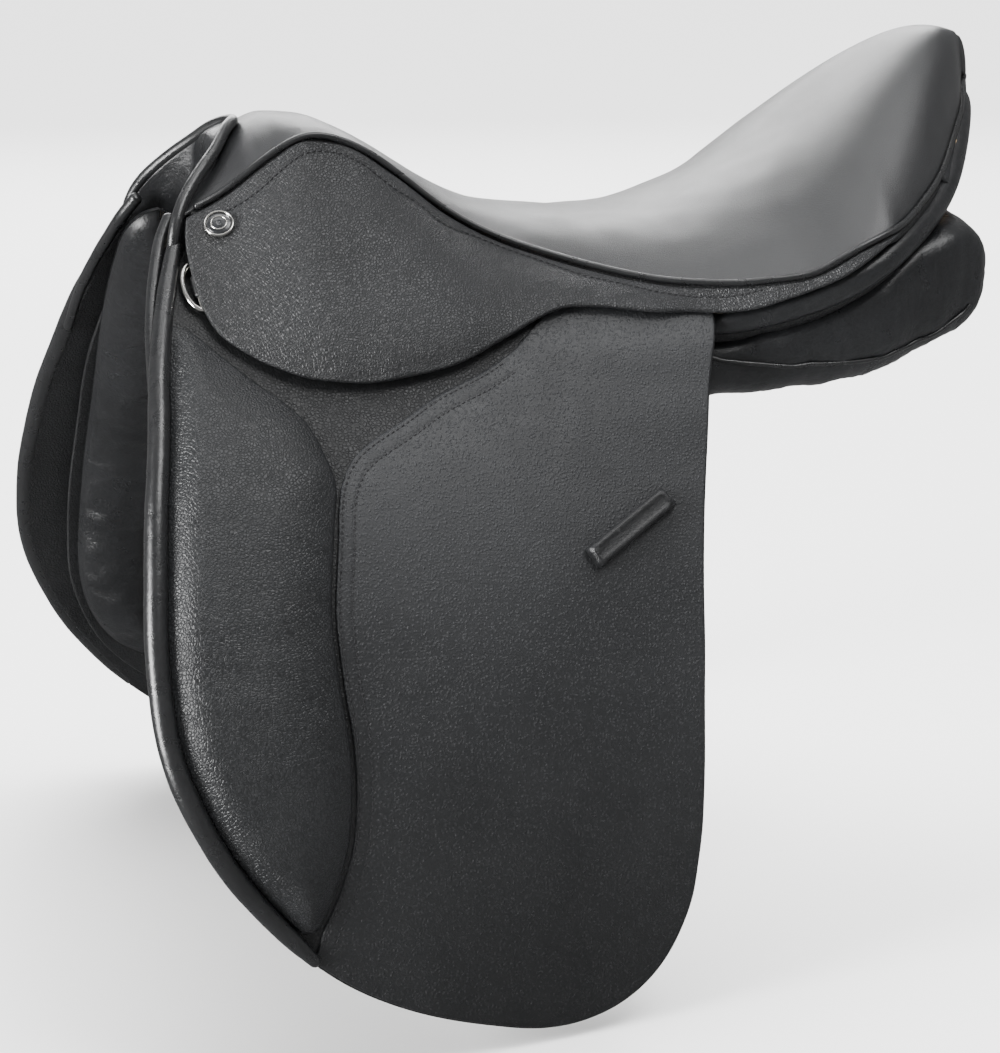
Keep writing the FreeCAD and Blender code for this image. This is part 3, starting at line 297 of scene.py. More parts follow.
def metal(name, color, rough=(0.16, 0.34), scratch=900.0):
    m, t, b = nt(name)
    L = t.links
    tc = node(t, "ShaderNodeTexCoord")
    n = node(t, "ShaderNodeTexNoise", Scale=scratch, Detail=5.0)
    mp = node(t, "ShaderNodeMapping")
    mp.inputs["Scale"].default_value = (1.0, 0.15, 1.0)
    L.new(tc.outputs["Object"], mp.inputs[0])
    L.new(mp.outputs[0], n.inputs["Vector"])
    r = node(t, "ShaderNodeMapRange")
    L.new(n.outputs["Fac"], r.inputs["Value"])
    r.inputs["To Min"].default_value = rough[0]
    r.inputs["To Max"].default_value = rough[1]
    L.new(r.outputs[0], b.inputs["Roughness"])
    d = node(t, "ShaderNodeTexNoise", Scale=60.0, Detail=4.0)
    L.new(tc.outputs["Object"], d.inputs["Vector"])
    mx = node(t, "ShaderNodeMix", data_type="RGBA")
    mx.inputs["A"].default_value = (*color, 1)
    mx.inputs["B"].default_value = (color[0] * 0.62, color[1] * 0.6, color[2] * 0.56, 1)
    rp = ramp(t, d.outputs["Fac"], [(0.45, 0.0), (0.75, 0.6)])
    L.new(rp.outputs[0], mx.inputs["Factor"])
    L.new(mx.outputs["Result"], b.inputs["Base Color"])
    b.inputs["Metallic"].default_value = 1.0
    bp = node(t, "ShaderNodeBump", Strength=0.4)
    bp.inputs["Distance"].default_value = 0.00008
    L.new(n.outputs["Fac"], bp.inputs["Height"])
    L.new(bp.outputs[0], b.inputs["Normal"])
    return m


def cloth_mat(name, c0, c1, scale=420.0):
    m, t, b = nt(name)
    L = t.links
    tc = node(t, "ShaderNodeTexCoord")
    a = node(t, "ShaderNodeTexWave", wave_type="BANDS", bands_direction="X", Scale=scale)
    c = node(t, "ShaderNodeTexWave", wave_type="BANDS", bands_direction="Z", Scale=scale)
    for q in (a, c):
        q.inputs["Distortion"].default_value = 0.8
        L.new(tc.outputs["Object"], q.inputs["Vector"])
    mul = node(t, "ShaderNodeMath", operation="MAXIMUM")
    L.new(a.outputs["Fac"], mul.inputs[0])
    L.new(c.outputs["Fac"], mul.inputs[1])
    mx = node(t, "ShaderNodeMix", data_type="RGBA")
    mx.inputs["A"].default_value = (*c0, 1)
    mx.inputs["B"].default_value = (*c1, 1)
    L.new(mul.outputs[0], mx.inputs["Factor"])
    L.new(mx.outputs["Result"], b.inputs["Base Color"])
    bp = node(t, "ShaderNodeBump", Strength=0.8)
    bp.inputs["Distance"].default_value = 0.0003
    L.new(mul.outputs[0], bp.inputs["Height"])
    L.new(bp.outputs[0], b.inputs["Normal"])
    b.inputs["Roughness"].default_value = 0.85
    return m


def wood_mat(name):
    m, t, b = nt(name)
    L = t.links
    tc = node(t, "ShaderNodeTexCoord")
    mp = node(t, "ShaderNodeMapping")
    mp.inputs["Scale"].default_value = (6.0, 60.0, 60.0)
    L.new(tc.outputs["Object"], mp.inputs[0])
    n = node(t, "ShaderNodeTexNoise", Scale=4.0, Detail=8.0, Distortion=1.2)
    L.new(mp.outputs[0], n.inputs["Vector"])
    mx = node(t, "ShaderNodeMix", data_type="RGBA")
    mx.inputs["A"].default_value = (0.42, 0.25, 0.12, 1)
    mx.inputs["B"].default_value = (0.66, 0.46, 0.26, 1)
    L.new(n.outputs["Fac"], mx.inputs["Factor"])
    L.new(mx.outputs["Result"], b.inputs["Base Color"])
    bp = node(t, "ShaderNodeBump", Strength=0.5)
    bp.inputs["Distance"].default_value = 0.0003
    L.new(n.outputs["Fac"], bp.inputs["Height"])
    L.new(bp.outputs[0], b.inputs["Normal"])
    b.inputs["Roughness"].default_value = 0.4
    return m


M_SEAT = leather("seat_leather_m", (0.011, 0.0115, 0.0125), (0.017, 0.0175, 0.019), rough=(0.33, 0.40), grain="smooth", gscale=1300.0, gdepth=0.11, wrinkle=0.08, wscale=35.0, wear=0.15, spec=0.75, coat=0.15)
M_SKIRT = leather("skirt_leather_m", (0.011, 0.0115, 0.0125), (0.019, 0.0197, 0.0215), rough=(0.42, 0.52), grain="cell", gscale=640.0, gdepth=0.30, wrinkle=0.5, wscale=60.0, wear=0.4, spec=0.5)
# the grained flap layer carries painted shade: its colour darkens to half towards the bottom edge, where less light
# falls
M_GRAIN = leather("flap_grain_m", (0.017, 0.0178, 0.0195), (0.026, 0.0272, 0.0295), rough=(0.44, 0.54), grain="dot", gscale=560.0, gdepth=0.34, wrinkle=0.3, wscale=50.0, wear=0.35, fade=(-0.29, -0.02, 0.5), spec=0.45)
M_BASE = leather("flap_smooth_m", (0.007, 0.0073, 0.008), (0.012, 0.0125, 0.0135), rough=(0.42, 0.55), grain="cell", gscale=520.0, gdepth=0.20, wrinkle=0.6, wscale=70.0, wear=0.3, spec=0.4)
M_PAD = leather("pad_leather_m", (0.0105, 0.011, 0.012), (0.017, 0.018, 0.0195), rough=(0.36, 0.47), grain="cell", gscale=600.0, gdepth=0.20, wrinkle=0.6, wscale=38.0, wear=0.2, spec=0.45)
M_ROLL = leather("roll_leather_m", (0.007, 0.0073, 0.008), (0.012, 0.0124, 0.0132), rough=(0.24, 0.36), grain="smooth", gscale=900.0, gdepth=0.06, wrinkle=0.4, wscale=120.0, wear=0.4, coat=0.2, spec=0.6)
M_PANEL = leather("panel_leather_m", (0.008, 0.0083, 0.009), (0.014, 0.0145, 0.0157), rough=(0.26, 0.36), grain="smooth", gscale=700.0, gdepth=0.09, wrinkle=0.8, wscale=55.0, wear=0.2, coat=0.05, spec=0.4)
M_STRAP = leather("strap_leather_m", (0.008, 0.0083, 0.009), (0.014, 0.0145, 0.0157), rough=(0.36, 0.48), grain="smooth", gscale=800.0, gdepth=0.12, wrinkle=0.4, wscale=80.0, wear=0.5)
M_THREAD = cloth_mat("thread_m", (0.006, 0.006, 0.007), (0.022, 0.022, 0.024), 1500.0)
M_STEEL = metal("steel_m", (0.56, 0.56, 0.57), (0.25, 0.45))
M_BRIGHT = metal("nickel_m", (0.80, 0.79, 0.76), (0.08, 0.22))
M_ENAMEL = leather("stud_face_m", (0.010, 0.0105, 0.012), (0.018, 0.019, 0.021), rough=(0.12, 0.2), grain="smooth", gscale=900.0, gdepth=0.03, coat=0.6, wear=0.2)
M_WEB = cloth_mat("web_m", (0.30, 0.26, 0.19), (0.55, 0.49, 0.38))
M_FOAM = cloth_mat("foam_m", (0.5, 0.46, 0.33), (0.66, 0.62, 0.48), 260.0)
M_WOOD = wood_mat("beech_m")

CAD_MATS = {"tree": M_WOOD, "head_plate": M_STEEL, "gullet_plate": M_STEEL, "tree_rivets": M_STEEL, "tree_spring": M_STEEL,
            "stirrup_bar": M_STEEL, "stirrup_bar_rivets": M_STEEL, "catch_pins": M_STEEL, "bar_catch": M_STEEL, "seat_foam": M_FOAM,
            "seat_webbing": M_WEB, "girth_web": M_WEB, "dee_ring": M_BRIGHT, "dee_tab": M_STRAP, "point_pocket": M_STRAP,
            "front_girth_strap": M_STRAP, "rear_girth_strap": M_STRAP, "gullet_lining": M_PANEL}
for name, ob in N.items():
    base = name.replace("_left", "").replace("_right", "")
    mt = CAD_MATS.get(base, M_STRAP)
    ob.data.materials.clear()
    ob.data.materials.append(mt)


# ------------------------------------------------------------------ mesh making
def make(name, verts, faces, mat, smooth_shade=True, mirror=False):
    v = np.array(verts, float) * 0.001
    if mirror:
        v[:, 1] *= -1
        faces = [tuple(reversed(f)) for f in faces]
    me = bpy.data.meshes.new(name)
    me.from_pydata(v.tolist(), [], [tuple(int(k) for k in f) for f in faces])
    me.validate(clean_customdata=False)
    me.materials.append(mat)
    if smooth_shade:
        me.polygons.foreach_set("use_smooth", [True] * len(me.polygons))
    me.update()
    ob = bpy.data.objects.new(name, me)
    bpy.context.scene.collection.objects.link(ob)
    return ob


def resample(pts, step):
    p = np.array(pts, float)
    d = np.r_[0, np.cumsum(np.linalg.norm(np.diff(p, axis=0), axis=1))]
    keep = np.r_[True, np.diff(d) > 1e-6]
    p, d = p[keep], d[keep]
    n = max(2, int(round(d[-1] / step)) + 1)
    s = np.linspace(0, d[-1], n)
    if len(p) < 3:
        return np.stack([np.interp(s, d, p[:, k]) for k in range(p.shape[1])], 1)
    # cubic through the points, by chord length
    from numpy.linalg import solve
    m = len(d)
    h = np.diff(d)
    A = np.zeros((m, m))
    A[0, 0] = A[-1, -1] = 1
    for i in range(1, m - 1):
        A[i, i - 1], A[i, i], A[i, i + 1] = h[i - 1], 2 * (h[i - 1] + h[i]), h[i]
    out = []
    i = np.clip(np.searchsorted(d, s) - 1, 0, m - 2)
    for k in range(p.shape[1]):
        r = np.zeros(m)
        r[1:-1] = 6 * ((p[2:, k] - p[1:-1, k]) / h[1:] - (p[1:-1, k] - p[:-2, k]) / h[:-1])
        c = solve(A, r)
        a, b2 = d[i + 1] - s, s - d[i]
        out.append((c[i] * a ** 3 + c[i + 1] * b2 ** 3) / (6 * h[i]) + (p[i, k] / h[i] - c[i] * h[i] / 6) * a
                   + (p[i + 1, k] / h[i] - c[i + 1] * h[i] / 6) * b2)
    return np.stack(out, 1)


def loop_of(runs, step=3.0):
    out = []
    for r in runs:
        q = resample(r, step)
        out.append(q[:-1])
    return np.concatenate(out)


def seg_dist(P, loop, closed=True):
    a = loop
    b = np.roll(loop, -1, 0) if closed else loop[1:]
    if not closed:
        a = loop[:-1]
    best = np.full(len(P), 1e9)
    for s0 in range(0, len(a), 64):
        aa, bb = a[s0:s0 + 64], b[s0:s0 + 64]
        ab = bb - aa
        t = np.clip(((P[:, None] - aa[None]) * ab[None]).sum(-1) / np.maximum((ab ** 2).sum(-1), 1e-12)[None], 0, 1)
        q = aa[None] + t[..., None] * ab[None]
        best = np.minimum(best, np.linalg.norm(P[:, None] - q, axis=-1).min(1))
    return best


def inside(P, loop):
    x, y = P[:, 0], P[:, 1]
    a, b = loop, np.roll(loop, -1, 0)
    c = np.zeros(len(P), int)
    for (x0, y0), (x1, y1) in zip(a, b):
        if y0 == y1:
            continue
        hit = ((y0 > y) != (y1 > y)) & (x < (x1 - x0) * (y - y0) / (y1 - y0) + x0)
        c += hit
    return c % 2 == 1


def inward(loop):
    t = np.roll(loop, -1, 0) - np.roll(loop, 1, 0)
    t /= np.linalg.norm(t, axis=1, keepdims=True)
    n = np.stack([-t[:, 1], t[:, 0]], 1)
    test = loop + n * 0.5
    if inside(test, loop).mean() < 0.5:
        n = -n
    return n


def sheet_mesh(runs, surf, thick, r=1.2, h=4.0, relief=None, lines=(), inner_relief=None, drop=0.0, back=None):
    """Closed sheet over an outline in (x, z): the outer face follows -surf, edges rounded with radius r."""
    loop = loop_of(runs, 3.0)
    nin = inward(loop)
    pts = [loop]
    for k in (0.12, 0.35, 0.65, 1.0, 1.9):
        q = loop + nin * (r * k)
        ok = inside(q, loop) & (seg_dist(q, loop) > r * k * 0.93)
        pts.append(q[ok])
    lo, hi = loop.min(0), loop.max(0)
    gx, gz = np.meshgrid(np.arange(lo[0] + h * 0.37, hi[0], h), np.arange(lo[1] + h * 0.41, hi[1], h * 0.9))
    gx[1::2] += h * 0.5
    g = np.stack([gx.ravel(), gz.ravel()], 1)
    g = g[inside(g, loop)]
    g = g[seg_dist(g, loop) > r * 1.9 + h * 0.45]
    extra = []
    for ln in lines:
        q = resample(ln, 2.2)
        t = np.gradient(q, axis=0)
        t /= np.linalg.norm(t, axis=1, keepdims=True)
        n2 = np.stack([-t[:, 1], t[:, 0]], 1)
        for o in (-1.7, -0.8, 0.0, 0.8, 1.7):
            w = q + n2 * o
            ok = inside(w, loop) & (seg_dist(w, loop) > r * 1.2)
            extra.append(w[ok])
        if len(g):
            g = g[seg_dist(g, q, closed=False) > 2.4]
    allp = np.concatenate(pts + extra + [g])
    n0 = len(loop)
    res = delaunay_2d_cdt([Vector(p) for p in allp], [], [list(range(n0))], 1, 1e-4)
    vv = np.array([tuple(v) for v in res[0]])
    tri = [tuple(f) for f in res[2]]
    nv = len(vv)
    d = seg_dist(vv, loop)
    e = np.where(d < r, r - np.sqrt(np.maximum(r * r - (r - d) ** 2, 0)), 0.0)
    x, z = vv[:, 0], vv[:, 1]
    y = surf(x, z)
    nn = normal_of(surf, x, z)
    P = np.stack([x, -y, z], 1)
    hgt = np.zeros(nv)
    if relief is not None:
        hgt = relief(vv, d)
    outer = P + nn * (hgt - e - drop)[:, None]
    if back is None:
        th = np.full(nv, float(thick))
    else:
        th = back(vv, d)
    inner = P - nn * (th - np.minimum(e, th * 0.35) + drop)[:, None]
    # orientation of the triangles: make the outer face look towards -y
    a, b, c = (np.array([t[k] for t in tri]) for k in range(3))
    cr = np.cross(outer[b] - outer[a], outer[c] - outer[a])
    flip = (cr * nn[a]).sum(-1) < 0
    tri = [tuple(reversed(t)) if f else t for t, f in zip(tri, flip)]
    edges = {}
    for t in tri:
        for k in range(3):
            i, j = t[k], t[(k + 1) % 3]
            edges[(i, j)] = edges.get((i, j), 0) + 1
    border = [(i, j) for (i, j) in edges if (j, i) not in edges]
    faces = list(tri) + [(t[2] + nv, t[1] + nv, t[0] + nv) for t in tri]
    for i, j in border:
        faces.append((j, i, i + nv, j + nv))
    return np.concatenate([outer, inner]), faces


def frames(path):
    t = np.gradient(path, axis=0)
    t /= np.linalg.norm(t, axis=1, keepdims=True)
    n = np.zeros_like(t)
    ref = np.array([0.0, -1.0, 0.0])
    v = ref - t[0] * ref.dot(t[0])
    if np.linalg.norm(v) < 1e-3:
        v = np.array([0, 0, 1.0]) - t[0] * t[0][2]
    n[0] = v / np.linalg.norm(v)
    for i in range(1, len(t)):
        v = n[i - 1] - t[i] * n[i - 1].dot(t[i])
        n[i] = v / np.linalg.norm(v)
    return t, n, np.cross(t, n)


def tube_mesh(path, rad, seg=20, step=2.5, profile=None, ends=True, wobble=0.0, seed=1):
    """Closed roll along the points. rad(s) gives the radius at 0..1."""
    p = resample(path, step)
    n = len(p)
    s = np.linspace(0, 1, n)
    r = np.array([rad(k) for k in s])
    if wobble:
        r = r + wobble * vnoise(p, 23.0, seed)
    t, a, b = frames(p)
    ang = np.linspace(0, 2 * math.pi, seg, endpoint=False)
    V = []
    if ends:
        # rounded ends
        for k in (0.25, 0.6, 0.88):
            V.append((p[0] - t[0] * r[0] * (1 - k) * 0.9, r[0] * math.sqrt(1 - (1 - k) ** 2), t[0], a[0], b[0]))
    for i in range(n):
        V.append((p[i], r[i], t[i], a[i], b[i]))
    if ends:
        for k in (0.88, 0.6, 0.25):
            V.append((p[-1] + t[-1] * r[-1] * (1 - k) * 0.9, r[-1] * math.sqrt(1 - (1 - k) ** 2), t[-1], a[-1], b[-1]))
    rows = []
    for c, rr, tt, aa, bb in V:
        q = c[None] + rr * (np.cos(ang)[:, None] * aa[None] + np.sin(ang)[:, None] * bb[None])
        rows.append(q)
    verts = np.concatenate(rows)
    m = len(rows)
    faces = []
    for i in range(m - 1):
        for k in range(seg):
            k2 = (k + 1) % seg
            faces.append((i * seg + k, i * seg + k2, (i + 1) * seg + k2, (i + 1) * seg + k))
    verts = np.concatenate([verts, V[0][0][None] - t[0][None] * r[0] * 0.12, V[-1][0][None] + t[-1][None] * r[-1] * 0.12])
    c0, c1 = len(verts) - 2, len(verts) - 1
    for k in range(seg):
        k2 = (k + 1) % seg
        faces.append((c0, k2, k))
        faces.append((c1, (m - 1) * seg + k, (m - 1) * seg + k2))
    faces = [tuple(reversed(f)) for f in faces]
    return verts, faces


def grid_shell(G, thick, closed_v=False):
    """Closed shell from a grid of points (nu, nv, 3): the outer face and an inner face 'thick' mm inside."""
    nu, nv = G.shape[:2]
    du = np.gradient(G, axis=0)
    dv = np.gradient(G, axis=1)
    n = np.cross(du, dv)
    n /= np.maximum(np.linalg.norm(n, axis=-1, keepdims=True), 1e-9)
    inner = G - n * (thick if np.isscalar(thick) else thick[..., None])
    A = G.reshape(-1, 3)
    B = inner.reshape(-1, 3)
    off = len(A)
    faces = []
    for i in range(nu - 1):
        for j in range(nv - 1):
            a, b, c, d = i * nv + j, (i + 1) * nv + j, (i + 1) * nv + j + 1, i * nv + j + 1
            faces.append((a, b, c, d))
            faces.append((off + d, off + c, off + b, off + a))
    for i in range(nu - 1):
        a, b = i * nv, (i + 1) * nv
        faces.append((b, a, off + a, off + b))
        a, b = i * nv + nv - 1, (i + 1) * nv + nv - 1
        faces.append((a, b, off + b, off + a))
    for j in range(nv - 1):
        a, b = j, j + 1
        faces.append((a, b, off + b, off + a))
        a, b = (nu - 1) * nv + j, (nu - 1) * nv + j + 1
        faces.append((b, a, off + a, off + b))
    return np.concatenate([A, B]), faces


def stitch_mesh(path3, normals, pitch=3.2, length=2.3, width=0.75, height=0.42):
    """A row of short threads lying along the path."""
    d = np.r_[0, np.cumsum(np.linalg.norm(np.diff(path3, axis=0), axis=1))]
    n = max(1, int(d[-1] / pitch))
    ctr = (np.arange(n) + 0.5) * pitch
    C = np.stack([np.interp(ctr, d, path3[:, k]) for k in range(3)], 1)
    T = np.stack([np.interp(ctr + 0.6, d, path3[:, k]) - np.interp(ctr - 0.6, d, path3[:, k]) for k in range(3)], 1)
    T /= np.linalg.norm(T, axis=1, keepdims=True)
    Nn = np.stack([np.interp(ctr, d, normals[:, k]) for k in range(3)], 1)
    Nn -= T * (Nn * T).sum(1, keepdims=True)
    Nn /= np.linalg.norm(Nn, axis=1, keepdims=True)
    B = np.cross(T, Nn)
    verts, faces = [], []
    prof = [(-0.5, 0.25, -0.5), (-0.32, 0.85, 0.45), (0.0, 1.0, 0.9), (0.32, 0.85, 0.45), (0.5, 0.25, -0.5)]
    for c, t, nn, b in zip(C, T, Nn, B):
        base = len(verts)
        for s, w, hh in prof:
            o = c + t * (s * length)
            for ang in (0, 60, 120, 180, 270):
                a = math.radians(ang)
                verts.append(o + b * (math.cos(a) * width * 0.5 * w) + nn * (math.sin(a) * height * max(0.3, w) * 0.5 + height * (hh - 0.5) * 0.5))
        m = 5
        for i in range(len(prof) - 1):
            for k in range(m):
                k2 = (k + 1) % m
                faces.append((base + i * m + k, base + i * m + k2, base + (i + 1) * m + k2, base + (i + 1) * m + k))
        faces.append(tuple(base + k for k in reversed(range(m))))
        faces.append(tuple(base + (len(prof) - 1) * m + k for k in range(m)))
    return np.array(verts), faces


def merge(parts):
    vs, fs, off = [], [], 0
    for v, f in parts:
        vs.append(np.asarray(v, float))
        fs += [tuple(k + off for k in q) for q in f]
        off += len(v)
    return np.concatenate(vs), fs


def on_surf(line, surf, lift, step=1.5):
    q = resample(line, step)
    n = normal_of(surf, q[:, 0], q[:, 1])
    P = np.stack([q[:, 0], -surf(q[:, 0], q[:, 1]), q[:, 1]], 1) + n * lift
    return P, n


def offset_line(line, d, step=3.0):
    q = resample(line, step)
    t = np.gradient(q, axis=0)
    t /= np.linalg.norm(t, axis=1, keepdims=True)
    n = np.stack([-t[:, 1], t[:, 0]], 1)
    return q + n * d


SIDES = (("left", False), ("right", True))


def joint(name):
    return next(j for j in frame["joints"] if j["name"] == name)


def hinge_frame(jname, nrm):
    j = joint(jname)
    p = np.array(j["pos_m"])
    a = np.array(j["axis"])
    a = a / np.linalg.norm(a)
    n = np.array(nrm, float)
    n = n - a * n.dot(a)
    n /= np.linalg.norm(n)
    down = np.cross(a, n)
    if down[2] > 0:
        down = -down
    return p, a, n, down


def pair(name, vf, mat, body=None, replaces=(), blend=None):
    """The near piece and its mirror image. Without a blend each is attached to the named body of its own side, or to
    the root when no body is given; with a blend it is only baked in place, not attached.
    """
    out = []
    for side, mir in SIDES:
        ob = make(name + "_" + side, vf[0], vf[1], mat, mirror=mir)
        if blend:
            jn, bodyname, w0, w1 = blend
            p, a, n, down = hinge_frame(jn.replace("SIDE", side), (0.0, 0.8 if mir else -0.8, 0.6))
            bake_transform(ob)
        else:
            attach(ob, "root" if body is None else body + "_" + side)
        if replaces:
            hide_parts(*[r + "_" + side for r in replaces])
        out.append(ob)
    return out


# ------------------------------------------------------------------ outlines (x, z) in mm, near side
PIPE = [(-230.7, 104.1), (-237.3, 89.6), (-243.3, 75.5), (-247.8, 60.7), (-252.8, 36.8), (-257.5, 15.4), (-262.7, -5.9),
        (-266.8, -27.6), (-269.5, -45.5), (-272.1, -66.8), (-272.9, -90.8), (-271.9, -111.1), (-267.8, -130.8),
        (-259.6, -152.4), (-249.5, -172.8), (-237.1, -191.8), (-222.7, -209.8), (-205.5, -229.5)]
BOTTOM = [(-205.7, -231.6), (-189.2, -244.8), (-173, -254.9), (-148.6, -266.4), (-130, -273.1), (-108.2, -279.5),
          (-88.8, -284.1), (-71.7, -285.6), (-54.4, -284), (-36.8, -278.6), (-18.9, -267), (-9.8, -257.1),
          (-0.5, -241.8), (5.1, -228), (8.5, -212.2), (11.3, -196.5), (13.2, -178)]
REAR = [(13.2, -178), (14.7, -157), (16.7, -126), (20.1, -96.1), (23.6, -66.6), (27, -47.2), (31.3, -28), (37.7, -4.1),
        (43.7, 20.3), (49.8, 39.9), (55.4, 54.3), (59.5, 68.0)]
TOPF = [(59.5, 68.0), (35, 74), (0, 80), (-50, 90), (-110, 104), (-170, 112), (-210, 112), (-230.7, 104.1)]
PADTOP = [(-238.9, 73.1), (-230.9, 67.8), (-221.4, 60.3), (-212.4, 52.3), (-201.2, 42.8), (-191.4, 35.6), (-184, 29.4),
          (-178.7, 23.3), (-174.9, 15.6), (-172.1, 7.4), (-169.9, -1.2), (-170.5, -10.9)]
SEAM = [(-60.0, 50.0), (-80.6, 40.3), (-95.6, 35), (-111.6, 28.9), (-129.4, 20.4), (-141.5, 15.3), (-151.9, 10.2),
        (-160.3, 4), (-166.5, -4.5), (-169.4, -11), (-172.7, -25.2), (-175.9, -39.9), (-180.4, -66.1), (-180.5, -86.6),
        (-179.9, -102.8), (-178.5, -119.3), (-178.2, -132.4), (-178.4, -142.2), (-180.3, -162.3), (-183.2, -177.5),
        (-188.1, -191.6), (-193.4, -203.6), (-199.1, -214), (-202.0, -221.9), (-205.7, -231.6)]
SKLOW = [(-220.2, 119.9), (-222.6, 112), (-223.5, 103.1), (-223, 92.2), (-221.9, 82.5), (-219.2, 72.8), (-214.5, 65),
         (-207.3, 59), (-197.8, 53.5), (-188.1, 49.4), (-176.1, 45.1), (-163.4, 42.6), (-149.3, 40.9), (-135.8, 40.8),
         (-118.5, 42.5), (-99.4, 45.6), (-85.3, 49.4), (-70.6, 55), (-55.4, 61.1), (-40, 67.2), (-28.2, 70.2),
         (-17.3, 70.6), (1.1, 69.1), (20.7, 66.6), (42.2, 65.4), (59.9, 64.6), (75.1, 66.0), (90.4, 69.4), (105.4, 74.2),
         (120, 80.3), (135.3, 87.8), (150.0, 96.0), (163.0, 102.6), (173.0, 107.6)]
SKST = [(-199.4, 121.9), (-188.3, 127.6), (-176.2, 135.7), (-163.7, 144.9), (-153.9, 150), (-144.3, 150.9),
        (-132.9, 148.6), (-123, 144), (-107.6, 131.2), (-91.5, 119.8), (-86.2, 114.6), (-65.8, 104.6), (-46.6, 96.4),
        (-28.4, 90), (-11, 83.7), (7.1, 79.6), (25, 75.3), (44.4, 72.1), (57.4, 71.3), (69.9, 72.4), (82.6, 75.5)]
KEEP = [(-42.5, -42.8), (4.4, -17.8), (11.9, -26.5), (-36.7, -52.5)]
SWEAT = [(-222, 78), (-232, 60), (-238, 37), (-242, 10), (-244, -26), (-246, -57), (-248, -90), (-248, -118),
         (-247, -141), (-240, -168), (-228, -192), (-210, -212), (-185, -230), (-150, -247), (-110, -258), (-75, -262),
         (-45, -256), (-22, -240), (-10, -215), (-6, -190)]
PFRONT = [(-226, 96), (-232, 76), (-236, 50), (-238, 20), (-238, -10), (-230, -34), (-210, -48), (-170, -52),
          (-120, -48), (-80, -40), (-58, -26), (-50, 0)]
KROLL = [(-238, -56), (-241, -80), (-242, -105), (-242, -135), (-238, -160), (-229, -180), (-216, -195), (-199, -205)]

flap_blend = ("flap_SIDE_lift", "flap", -0.010, 0.010)
skirt_blend = ("skirt_SIDE_lift", "skirt_lobe", -0.010, 0.010)


def hang(vv):
    return np.zeros(len(vv))


# ------------------------------------------------------------------ flap
pipe_in = offset_line(PIPE, 0.0)


def flap_relief(vv, d):
    p = np.c_[vv, np.zeros(len(vv))]
    return 0.5 * vnoise(p, 120.0, 3) * smooth(d / 30.0)


flap_vf = sheet_mesh([PIPE, BOTTOM, REAR, TOPF], F, 3.6, r=1.3, h=4.5, relief=flap_relief)
pair("flap_leather", flap_vf, M_BASE, replaces=("flap", "flap_top"), blend=flap_blend)

# grained layer sewn on the flap, with a cut edge that stands up
OV_LIFT = 1.7
rear_in = offset_line(REAR, 1.4)
bot_in = offset_line(BOTTOM, 1.4)
row1 = offset_line(SEAM, -1.9)
row2 = offset_line(SEAM, -8.2)
if np.mean([inside(np.array([[p[0], p[1]]]), loop_of([SEAM, BOTTOM, REAR, [(59.5, 68.0), (-60, 50)]]))[0] for p in row1[8:60:6]]) < 0.5:
    row1 = offset_line(SEAM, 1.9)
    row2 = offset_line(SEAM, 8.2)
OVT = [(rear_in[-1][0], rear_in[-1][1]), (30.0, 74.0), (-20.0, 74.0), (-60.0, 50.0)]
row1, row2 = row1[3:-2], row2[2:-4]
edge_row = offset_line(list(reversed(REAR)) , 0.0)


def ov_relief(vv, d):
    p = np.c_[vv, np.zeros(len(vv))]
    h = 0.5 * vnoise(p, 120.0, 3) * smooth(d / 30.0)
    for row, depth, wd in ((row1, 0.28, 0.9), (row2, 0.25, 0.9)):
        k = seg_dist(vv, row, closed=False)
        h = h - depth * np.exp(-(k / wd) ** 2)
    k = seg_dist(vv, row1, closed=False)
    k2 = seg_dist(vv, row2, closed=False)
    h = h + 0.16 * np.exp(-(((k - 3.1) / 2.2) ** 2)) * smooth((7.5 - k2) / 3.0)
    return h


ov_surf = lambda x, z: F(x, z) + OV_LIFT
ov_vf = sheet_mesh([SEAM, bot_in, rear_in, OVT], ov_surf, OV_LIFT + 1.2, r=0.9, h=4.0, relief=ov_relief, lines=[row1, row2])
pair("flap_grain_layer", ov_vf, M_GRAIN, blend=flap_blend)
st = []
for row in (row1, row2):
    P, n = on_surf(row, ov_surf, -0.10)
    st.append(stitch_mesh(P, n, pitch=3.4, length=2.5, width=0.9, height=0.6))
pair("flap_stitches", merge(st), M_THREAD, blend=flap_blend)

# ------------------------------------------------------------------ knee pad
pad_front = [tuple(p) for p in offset_line(PIPE, 5.2)[4:-3]]
if pad_front[20][0] < PIPE[8][0]:
    pad_front = [tuple(p) for p in offset_line(PIPE, -5.2)[4:-3]]
pf = [p for p in pad_front if p[1] < 71.0 and p[1] > -214.0]
seam_low = [p for p in SEAM if p[1] < -20]
so = offset_line(seam_low, 2.0)
so2 = offset_line(seam_low, -2.0)
so = so if so[len(so) // 2][0] < so2[len(so2) // 2][0] else so2
so = [tuple(p) for p in so if p[1] > -216]
run_top = [pf[0]] + [p for p in PADTOP[1:]]
run_in = [PADTOP[-1]] + so
run_low = [so[-1], ((so[-1][0] + pf[-1][0]) / 2, min(so[-1][1], pf[-1][1]) - 2.0), pf[-1]]
run_front = list(reversed(pf))
pad_loop = loop_of([run_top, run_in, run_low, run_front])
pad_front_arr = np.array(pf)


def pad_relief(vv, d):
    p = np.c_[vv, np.zeros(len(vv))]
    df = seg_dist(vv, pad_front_arr, closed=False)
    h = 9.6 * (1 - (1 - np.clip(d / 34.0, 0, 1)) ** 2.2)
    h = h + 1.9 * np.exp(-((df - 12.0) / 8.0) ** 2) * smooth(d / 10.0)
    h = h * (0.55 + 0.45 * smooth((70.0 - vv[:, 1]) / 55.0))
    h = h + 0.28 * vnoise(p * np.array([1.0, 1.7, 1.0]), 30.0, 11) * smooth(d / 12.0)
    return h


def pad_surf(x, z):
    return F(x, z) + 2.0


